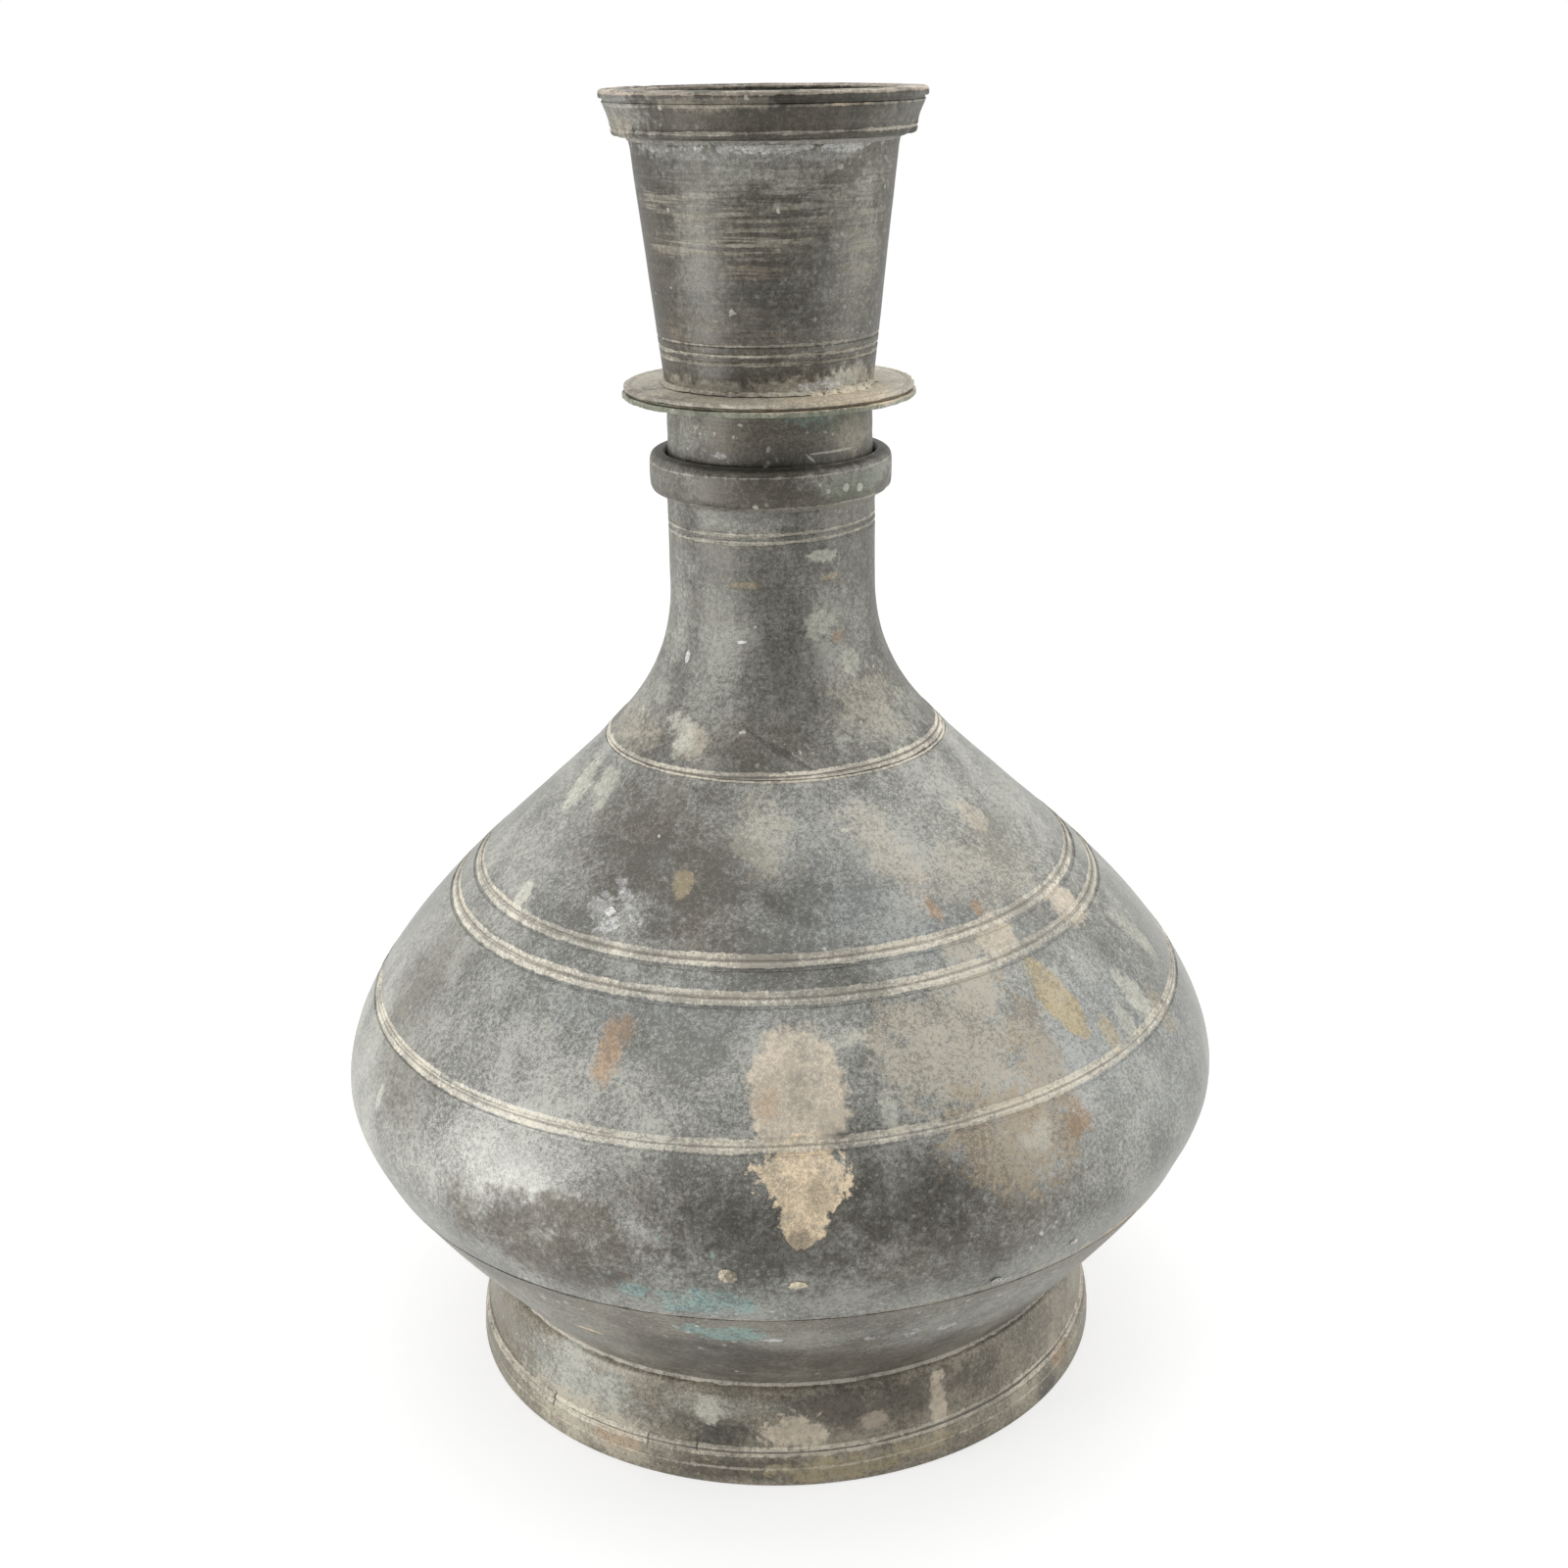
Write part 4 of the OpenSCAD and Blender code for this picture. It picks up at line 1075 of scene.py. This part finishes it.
class BOTTLE_OT_bowl(bpy.types.Operator):
    """Turn the lower bowl, lapped inside the belly, and the soldered seam"""

    bl_idname = "bottle.bowl"
    bl_label = "Bowl"

    def execute(self, context):
        s, outline = sizes(), Outline()
        seam = low("belly_seam_solder")
        wall, lap = 2.2 * MM, s.wall + 0.1 * MM
        flat, first = 30 * MM, 30 * MM
        floor, top = low("bottom_bowl"), high("bottom_bowl")
        section = [(0.0, floor), (flat, floor)] + outline.wall(floor, seam, 0.0, 1.5 * MM)
        section += outline.wall(seam, top, lap, 3 * MM)
        section += outline.wall(top, seam - 2 * MM, lap + wall, 3 * MM)
        section += outline.wall(seam - 4 * MM, floor, wall, 3 * MM) + [(0.0, floor + wall)]
        piece = turned("lower_bowl", section, closed=False)
        roughen(piece, 34 * MM, 0.5 * MM, lambda r, z: r > outline.at(z)[0] - MM and first < z < seam - MM)
        finished(piece, bowl_patina(), "bottle", ["bottom_bowl"])
        self.seam(outline, seam)
        return {"FINISHED"}

    def seam(self, outline, seam):
        """The seam's solder: a dark crack on the left, a proud line of lime on the right."""
        top = high("belly_seam_solder")
        quarter = 0.25 * (top - seam)
        places = ((seam, 0.2), (seam + quarter, -0.1), (top - quarter, -0.1), (top, 0.2))
        places += ((top, 1.9), (seam, 1.9))
        piece = turned("seam_solder", [outline.at(height, depth * MM) for height, depth in places])
        for vertex in piece.data.vertices:
            radius = math.hypot(vertex.co.x, vertex.co.y)
            if radius < outline.at(vertex.co.z)[0] - 0.6 * MM:
                continue
            turn = turn_of(vertex.co)
            sink = 0.55 * MM * (0.5 - 0.5 * math.tanh((turn + 22.0) / 8.0)) * (1.0 if turn > -140 else 0.4)
            wander = 0.12 * MM * math.sin(0.9 * turn) * math.sin(0.31 * turn + 1.0)
            shrink = (radius - sink - abs(wander)) / radius
            vertex.co.x *= shrink
            vertex.co.y *= shrink
        roughen(piece, 1.8 * MM, 0.35 * MM)
        tones = ((0.22, 0.20, 0.165), (0.47, 0.44, 0.37), (0.66, 0.62, 0.54))
        p = Patina("Seam solder", *tones, cloud=1.4, rough=0.8, metal=0.0)
        dark = p.graph.span(p.turn, -18.0, -30.0)
        dark = p.graph.times(dark, p.graph.span(p.turn, -150.0, -130.0))
        p.lay(dark, "dark")
        finished(piece, p.done(0.5), "bottle", ["belly_seam_solder"], 60)


class BOTTLE_OT_belly(bpy.types.Operator):
    """Turn the belly and shoulder with their scribed line pairs"""

    bl_idname = "bottle.belly"
    bl_label = "Belly"

    def execute(self, context):
        s, outline = sizes(), Outline()
        start, end, top = low("belly_shell"), low("neck_seam_solder"), high("belly_shell")
        wall, lap = s.wall, s.wall + 0.1 * MM
        section = outline.wall(start, end, 0.0, 1.6 * MM, line_pairs())
        section += outline.wall(end, top, lap, 3 * MM)
        section += outline.wall(top, end - 2 * MM, lap + wall, 3 * MM)
        section += outline.wall(end - 4 * MM, start, wall, 4 * MM)
        piece = turned("belly", section)
        lean_lines(piece, outline)

        def skin(radius, height):
            inside = radius < outline.at(height)[0] - 1.2 * MM
            edge = min(height - start, end - height) / (4 * MM)
            return 0.0 if inside else max(0.0, min(1.0, edge))

        roughen(piece, 45 * MM, 0.55 * MM, skin)
        roughen(piece, 9 * MM, 0.12 * MM, skin)
        finished(piece, belly_patina(), "bottle", ["belly_shell"])
        return {"FINISHED"}


class BOTTLE_OT_neck(bpy.types.Operator):
    """Turn the neck and its collar, with the solder at the neck's root and under the collar"""

    bl_idname = "bottle.neck"
    bl_label = "Neck"

    def execute(self, context):
        s, outline = sizes(), Outline()
        start, seat = low("neck_tube"), s.socket_height
        collar = low("neck_collar")
        lines = [(collar - down * MM, s.line_width, 0.7 * s.line_depth) for down in (9, 7)]
        section = outline.wall(start, seat, 0.0, 1.4 * MM, lines)
        section += outline.wall(seat, start, s.wall, 3 * MM)
        piece = turned("neck", section, 160)
        first, last = start + 3 * MM, collar - 2 * MM
        roughen(piece, 24 * MM, 0.4 * MM, lambda r, z: r > outline.at(z)[0] - 1.2 * MM and first < z < last)
        finished(piece, neck_patina(), "bottle", ["neck_tube"])
        self.root_solder(outline)
        self.collar(s, collar)
        return {"FINISHED"}

    def root_solder(self, outline):
        start, top = low("neck_seam_solder"), high("neck_seam_solder")
        places = ((start, 0.1), ((start + top) / 2, -0.15), (top, 0.1), (top, 1.9), (start, 1.9))
        section = [outline.at(height, depth * MM) for height, depth in places]
        look_of_it = ("Neck root solder", (0.60, 0.56, 0.47))
        solder("neck_root_solder", section, look_of_it, "bottle", "neck_seam_solder", 200)

    def collar(self, s, start):
        mouth, radius = high("neck_collar"), reach("neck_collar")
        sleeve, seat = s.neck_radius + 0.1 * MM, s.socket_height
        section = rounded([
            (sleeve, start, 0), (radius - 0.3 * MM, start, 0.7), (radius, (start + mouth) / 2, 1.2),
            (radius - 0.15 * MM, mouth, 0.8), (SOCKET_BORE + 0.8 * MM, mouth, 0.12),
            (SOCKET_BORE, mouth - 1.0 * MM, 0.1), (SOCKET_BORE, seat, 0), (sleeve, seat, 0),
        ], 3.4 * MM, 7)
        piece = turned("collar", section, 200)
        roughen(piece, 14 * MM, 0.45 * MM, lambda r, z: r > SOCKET_BORE + 1.2 * MM)
        dents = (
            (76, start, 1.5, -0.5), (-70, mouth, -1, -0.45), (58, mouth, -0.5, -0.35),
            (-40, start, 1, -0.3),
        )
        for turn, edge, up, out in dents:
            dent(piece, turn, edge + up * MM, radius, (out * MM, 0.0), 3.2 * MM)
        finished(piece, collar_patina(), "bottle", ["neck_collar"])
        neck = s.neck_radius
        bead = [(neck - 0.2 * MM, start), (neck + LEG, start), (neck + 0.5 * LEG, start - 0.4 * LEG),
                (neck - 0.2 * MM, start - LEG)]
        look_of_it = ("Collar solder", (0.30, 0.285, 0.245))
        solder("collar_bead", bead, look_of_it, "bottle", "collar_solder")


class BOTTLE_OT_spigot(bpy.types.Operator):
    """Turn the spigot with its tail and the two plates of the flange"""

    bl_idname = "bottle.spigot"
    bl_label = "Spigot and flange"

    def execute(self, context):
        s = sizes()
        spigot, tail = reach("spigot_tube"), s.neck_radius - s.wall - 0.3 * MM
        seat, wall = s.socket_height, s.wall
        start, top = low("spigot_tube"), high("spigot_tube")
        uneven = ((0, 2), (-0.05, 7), (0, 9), (-0.12, 11.5), (0, 14), (-0.06, 17), (0, 20))
        section = [(tail - wall, start), (tail - 0.2 * MM, start), (tail, start + 0.4 * MM), (tail, seat)]
        section += [(spigot - 0.2 * MM, seat)] + shifted((spigot, seat), *uneven)
        section += [
            (spigot, top), (spigot - wall, top), (spigot - wall, seat + wall), (tail - wall, seat + wall),
        ]
        piece = turned("spigot", section, 160)
        roughen(piece, 9 * MM, 0.3 * MM, lambda r, z: r > spigot - 0.5 * MM and z > seat + 8 * MM)
        finished(piece, spigot_patina(), "funnel", ["spigot_tube"])
        plate = flange_patina()
        self.plate("lower_plate", "lower_flange_plate", plate, 0.0)
        self.plate("upper_plate", "upper_flange_plate", plate, 0.45 * MM)
        self.beads(s.funnel_foot)
        return {"FINISHED"}

    def plate(self, name, node, material, inset):
        """A flange plate with worn edges and, on its top, a scribed circle."""
        start, top, radius = low(node), high(node), reach(node) - inset
        line = 2.2 * MM
        section = rounded([(PLATE_BORE, start, 0), (radius, start, 1), (radius, top, 1)], 0.55 * MM, 4)
        for away, dip in ((-0.5, 0), (-0.2, 0.25), (0.2, 0.25), (0.5, 0)):
            section.append((radius - (line + away * MM), top - dip * MM))
        section += [(radius - 5 * MM, top), (PLATE_BORE, top)]
        piece = turned(name, section, 220)
        random.seed(name)
        nicks = [(random.uniform(-180, 180), random.uniform(0.25, 0.8)) for _ in range(26)]
        for turn, depth in nicks:
            size = random.uniform(1.2, 3.0) * MM
            dent(piece, turn, (start + top) / 2, radius, (-depth * MM, 0.0), size)
        roughen(piece, 7 * MM, 0.3 * MM, lambda r, z: r > PLATE_BORE + 1.5 * MM)
        finished(piece, material, "funnel", [node], 50)

    def beads(self, foot_radius):
        """The dark solder between the plates, and the beads under the flange and at the funnel's foot."""
        radius, start, top = reach("flange_solder"), low("flange_solder"), high("flange_solder")
        section = [(PLATE_BORE, start), (radius, start), (radius, top), (PLATE_BORE, top)]
        look_of_it = ("Plate solder", (0.24, 0.22, 0.17))
        solder("plate_solder", section, look_of_it, "funnel", "flange_solder", lumps=None, sharp=50)
        spigot, flange = reach("spigot_tube"), low("lower_flange_plate")
        section = [(spigot - 0.2 * MM, flange)] + shifted((spigot, flange), (1, 0), (0.35, -0.4), unit=LEG)
        section.append((spigot - 0.2 * MM, flange - LEG))
        look_of_it = ("Flange bead", (0.19, 0.21, 0.16))
        solder("flange_bead", section, look_of_it, "funnel", "spigot_solder")
        foot = (foot_radius, low("funnel_wall"))
        section = shifted(foot, (-0.3, 0)) + shifted(foot, (1, 0), (0.8, 0.35), (0.4, 0.8), unit=LEG)
        section += shifted((foot[0], foot[1] + LEG), (-0.1, 0), (-0.3, 0))
        look_of_it = ("Funnel foot solder", (0.52, 0.48, 0.39))
        solder("funnel_foot_bead", section, look_of_it, "funnel", "funnel_solder", 200, (2.4, 0.9))


class BOTTLE_OT_funnel(bpy.types.Operator):
    """Turn the funnel's wall with its three lines, and the heavy rim"""

    bl_idname = "bottle.funnel"
    bl_label = "Funnel and rim"

    def execute(self, context):
        s = sizes()
        start, top = low("funnel_wall"), high("funnel_wall")
        mouth, end = high("funnel_rim"), low("funnel_rim") - MM

        def cone(height):
            return s.funnel_foot + (s.funnel_top - s.funnel_foot) * (height - start) / (mouth - start)

        heights = {float(h): 0.0 for h in np.linspace(start, top, 46)}
        for line in (8, 10, 12.4):
            for across, dip in groove(0.6, 0.4, 0.15, 0.05):
                heights[start + line * MM + across * s.line_width] = 0.8 * dip * s.line_depth
        section = [(cone(h) - dip, h) for h, dip in sorted(heights.items())]
        section += [(cone(h) - s.wall, h) for h in np.linspace(top, start, 12)]
        piece = turned("funnel", section, 200)
        roughen(piece, 22 * MM, 0.35 * MM, lambda r, z: r > cone(z) - 0.9 * MM and z < end)
        finished(piece, funnel_patina(), "funnel", ["funnel_wall"])
        self.rim(cone, top, mouth)
        return {"FINISHED"}

    def rim(self, cone, wall_top, mouth):
        start, radius = low("funnel_rim"), reach("funnel_rim")
        inner, lower, lip = cone(wall_top) - 2 * MM, 38.8 * MM, 1.86 * MM
        under, head = lower + 0.7 * (radius - lower), mouth - 2.6 * MM
        corner = (
            (lower - lip, start), (lower - lip / 3, start), (lower, start + lip / 3), (lower, start + lip),
        )
        section = curved(corner, 6) + shifted((lower, start), (-0.15, 2.0), (-0.15, 2.3), (0.1, 2.6))
        flare = shifted((lower, start), (0.1, 2.8), (0.2, 5)) + shifted((under, head), (-0.4, -2), (0, -0.5))
        section += curved(flare, 10) + shifted((under, head), (-0.25, -0.25), (-0.2, 0.1))
        swell = shifted((under, head), (0.3, 0.1)) + shifted((radius, head), (0, 0.1), (0, 1))
        section += curved(swell + shifted((radius, mouth), (0, -0.9)), 6)
        section += shifted((radius, mouth), (-0.3, -0.3), (-1, 0), (-2.6, -0.15))
        section += shifted((inner, mouth), (0.8, -0.1), (0.1, -0.7))
        section += shifted((inner, wall_top), (0, -0.2), (0, 0.02))
        section += shifted((cone(wall_top) + 0.1 * MM, wall_top), (0, 0.02))
        section += [(cone(start + lip) + 0.1 * MM, start + lip / 2)]
        piece = turned("rim", section, 220)
        roughen(piece, 11 * MM, 0.4 * MM, lambda r, z: r > cone(z) + 2.2 * MM)
        foot, lips = (start, lower), (mouth, radius)
        dents = (
            (foot, 75, 1, -1.3, 0.5, 3.0), (foot, 70, 0.5, -0.7, 0.3, 4.0), (lips, -78, 0, -0.7, -0.5, 3.0),
            (lips, -86, -1, -0.8, -0.2, 2.4), (lips, -70, 0, -0.3, -0.5, 2.2), (lips, 88, 0, -0.4, -0.3, 3.0),
            (foot, -76, 1, -0.6, 0.2, 4.0), (foot, 150, 1, -0.8, 0.4, 3.5), (lips, -130, 0, -0.5, -0.4, 3.0),
        )
        for (edge, at), turn, rise, out, up, size in dents:
            dent(piece, turn, edge + rise * MM, at, (out * MM, up * MM), size * MM)
        finished(piece, rim_patina(), "funnel", ["funnel_rim"])
        wall = cone(start)
        section = [(wall - 0.3 * MM, start - 0.8 * LEG)]
        steps = ((0.15, -0.7), (0.5, -0.3), (1.5, -0.05), (1.5, 0.5))
        section += shifted((wall, start), *steps, unit=LEG) + [(wall - 0.1 * MM, start + 0.5 * LEG)]
        look_of_it = ("Rim crust", (0.36, 0.35, 0.31))
        solder("rim_bead", section, look_of_it, "funnel", "rim_solder", 220, (1.6, 0.8))


class BOTTLE_OT_crust(bpy.types.Operator):
    """Set crumbs of lime on the belly, the bowl and the flange"""

    bl_idname = "bottle.crust"
    bl_label = "Crust"

    def execute(self, context):
        outline = Outline()
        cream = crust_patina("Cream crust", (0.74, 0.66, 0.51))
        white = crust_patina("White crust", (0.72, 0.71, 0.67))
        # Turn, height, half width, half height and thickness in mm
        self.crumb("cream_crumb", (-6.5, 85.3, 2.0, 1.9, 0.5), outline, cream)
        self.crumb("cream_flake", (1.3, 82.5, 2.0, 1.1, 0.4), outline, cream)
        places = ((17, 54, 1.2), (11, 55.8, 1.3), (26, 71.8, 1.5), (-34, 154.5, 1.6), (37, 76.0, 1.2))
        for i, (turn, height, width) in enumerate(places):
            self.crumb(f"white_crumb_{i}", (turn, height, width, 0.7 * width, 0.35), outline, white)
        self.lumps(cream)
        return {"FINISHED"}

    def blob(self, name, seed):
        """An uneven pebble of unit size at the origin."""
        deselect()
        bpy.ops.mesh.primitive_ico_sphere_add(subdivisions=4, radius=1.0, location=(0, 0, 0))
        piece = bpy.context.active_object
        piece.name = name
        random.seed(seed)
        shift = Vector([random.uniform(-9, 9) for _ in range(3)])
        texture = bpy.data.textures.new(name, "CLOUDS")
        texture.noise_scale = 0.6
        piece.data.transform(Matrix.Translation(shift))
        bulge = piece.modifiers.new("Uneven", "DISPLACE")
        bulge.texture = texture
        bulge.texture_coords = "LOCAL"
        bulge.strength = 0.9
        apply_all(piece)
        piece.data.transform(Matrix.Translation(-shift))
        return piece

    def settle(self, piece, turn, centre, up, size):
        """Flattens a pebble and lays it on the metal, facing outwards."""
        a = math.radians(turn)
        east = Vector((math.cos(a), math.sin(a), 0))
        outwards = Vector((math.sin(a) * up[0], -math.cos(a) * up[0], up[1]))
        north = outwards.cross(east)
        for vertex in piece.data.vertices:
            x, y, z = vertex.co
            vertex.co = centre + east * x * size[0] + north * y * size[1] + outwards * z * size[2]

    def crumb(self, name, place, outline, material):
        turn, height, *size = place
        height *= MM
        radius = float(outline.at(height)[0])
        a = math.radians(turn)
        inner = [float(np.interp(height, outline.height, outline.inwards[:, i])) for i in (0, 1)]
        centre = Vector((radius * math.sin(a), -radius * math.cos(a), height))
        piece = self.blob(name, name)
        self.settle(piece, turn, centre, (-inner[0], -inner[1]), [side * MM for side in size])
        finished(piece, material, "bottle", [], 60)

    def lumps(self, material):
        """The lumps of crust at the funnel's foot."""
        top, wall = high("upper_flange_plate"), sizes().funnel_foot
        places = ((42, 1.1, 3.4, 1.0), (33, 1.0, 2.4, 0.7), (51, 1.3, 2.6, 0.7), (24, 1.0, 2.0, 0.5))
        places += ((60, 1.4, 1.6, 0.5),)
        for i, (turn, out, width, thick) in enumerate(places):
            a = math.radians(turn)
            radius = wall + out * MM
            centre = Vector((radius * math.sin(a), -radius * math.cos(a), top + 0.2 * MM))
            piece = self.blob(f"flange_lump_{i}", 20 + i)
            self.settle(piece, turn, centre, (0.35, 0.94), (width * MM, 0.6 * width * MM, thick * MM))
            finished(piece, material, "funnel", [], 60)


# ---- Stage ----


class BOTTLE_OT_stage(bpy.types.Operator):
    """Lay the pale floor, light it softly from above and both sides, and set the camera"""

    bl_idname = "bottle.stage"
    bl_label = "Stage"

    def execute(self, context):
        self.floor()
        self.world()
        self.lamp("Left window", (-0.50, -0.27, 0.125), (0.24, 0.25), 1.5)
        self.lamp("Right window", (0.62, -0.10, 0.30), (0.5, 0.5), 1.2)
        self.lamp("Ceiling", (0.0, 0.15, 1.1), (1.0, 0.9), 3.0)
        self.camera()
        return {"FINISHED"}

    def floor(self):
        deselect()
        bpy.ops.mesh.primitive_plane_add(size=6.0, location=(0, 0, 0))
        floor = bpy.context.active_object
        floor.name = "floor"
        material = bpy.data.materials.new("Pale floor")
        material.use_nodes = True
        material.node_tree.nodes.clear()
        graph = Graph(material.node_tree)
        rays = graph.add("ShaderNodeLightPath").outputs
        mirrored = graph.math("MAXIMUM", rays["Is Glossy Ray"], rays["Is Transmission Ray"])
        seen = graph.math("MAXIMUM", rays["Is Camera Ray"], mirrored)
        matt = graph.add("ShaderNodeBsdfDiffuse", {0: (0.45, 0.45, 0.445, 1)})
        glow = graph.add("ShaderNodeEmission", {0: (1, 1, 1, 1), 1: graph.times(seen, 0.62)})
        both = graph.add("ShaderNodeAddShader", {0: matt.outputs[0], 1: glow.outputs[0]})
        graph.add("ShaderNodeOutputMaterial", {0: both.outputs[0]})
        floor.data.materials.append(material)

    def world(self):
        """A white world, dimmer in front of the bottle than above it and behind."""
        world = bpy.data.worlds.new("Soft room")
        bpy.context.scene.world = world
        world.use_nodes = True
        world.node_tree.nodes.clear()
        graph = Graph(world.node_tree)
        rays = graph.add("ShaderNodeLightPath").outputs
        way = graph.add("ShaderNodeTexCoord").outputs["Generated"]
        axes = graph.add("ShaderNodeSeparateXYZ", {0: way}).outputs
        depth = graph.span(axes[1], -0.9, 0.5, 0.16, 0.62)
        rising = graph.span(axes[2], 0.1, 1.0, 0.0, 0.7)
        soft = graph.plus(depth, rising)
        strength = graph.blend(rays["Is Camera Ray"], soft, 1.0)
        light = graph.add("ShaderNodeBackground", {0: (1, 1, 1, 1), 1: strength})
        graph.add("ShaderNodeOutputWorld", {0: light.outputs[0]})

    def lamp(self, name, place, size, power):
        deselect()
        aim = Vector((0, 0, 0.14)) - Vector(place)
        way = aim.to_track_quat("-Z", "Y").to_euler()
        bpy.ops.object.light_add(type="AREA", location=place, rotation=way)
        lamp = bpy.context.active_object
        lamp.name = name
        lamp.data.shape = "RECTANGLE"
        lamp.data.size, lamp.data.size_y = size
        lamp.data.energy = power
        lamp.visible_camera = False

    def camera(self):
        """The photograph's view: half a metre away, a little above the bottle and looking down."""
        down, aside, roll = 19.817, -1.5, -0.607
        deselect()
        upright = Euler((math.radians(90 - down), 0, math.radians(aside))).to_matrix()
        turn = upright @ Euler((0, 0, math.radians(roll))).to_matrix()
        bpy.ops.object.camera_add(location=(0, -0.5517, 0.3630), rotation=turn.to_euler())
        camera = bpy.context.active_object
        camera.data.sensor_width = 36.0
        camera.data.lens = 48.21
        camera.data.shift_x = -0.0285
        camera.data.shift_y = 0.0016
        bpy.context.scene.camera = camera
        bpy.context.scene.view_settings.view_transform = "Standard"


STEPS = (
    BOTTLE_OT_stage, BOTTLE_OT_foot, BOTTLE_OT_bowl, BOTTLE_OT_belly, BOTTLE_OT_neck,
    BOTTLE_OT_spigot, BOTTLE_OT_funnel, BOTTLE_OT_crust,
)


class BOTTLE_PT_panel(bpy.types.Panel):
    """Lists the steps that build the bottle."""

    bl_idname = "BOTTLE_PT_panel"
    bl_label = "Bronze bottle"
    bl_space_type = "VIEW_3D"
    bl_region_type = "UI"
    bl_category = "Bottle"

    def draw(self, context):
        for step in STEPS:
            self.layout.operator(step.bl_idname)
        for group in (context.scene.bottle_sizes, context.scene.bottle_patina):
            for name in group.__annotations__:
                self.layout.prop(group, name)


CLASSES = (BottleSizes, PatinaLook) + STEPS + (BOTTLE_PT_panel,)


def register():
    for each in CLASSES:
        bpy.utils.register_class(each)
    bpy.types.Scene.bottle_sizes = bpy.props.PointerProperty(type=BottleSizes)
    bpy.types.Scene.bottle_patina = bpy.props.PointerProperty(type=PatinaLook)


def unregister():
    del bpy.types.Scene.bottle_patina
    del bpy.types.Scene.bottle_sizes
    for each in reversed(CLASSES):
        bpy.utils.unregister_class(each)


def main():
    register()
    for step in STEPS:
        group, name = step.bl_idname.split(".")
        getattr(getattr(bpy.ops, group), name)()


if __name__ == "__main__":
    main()
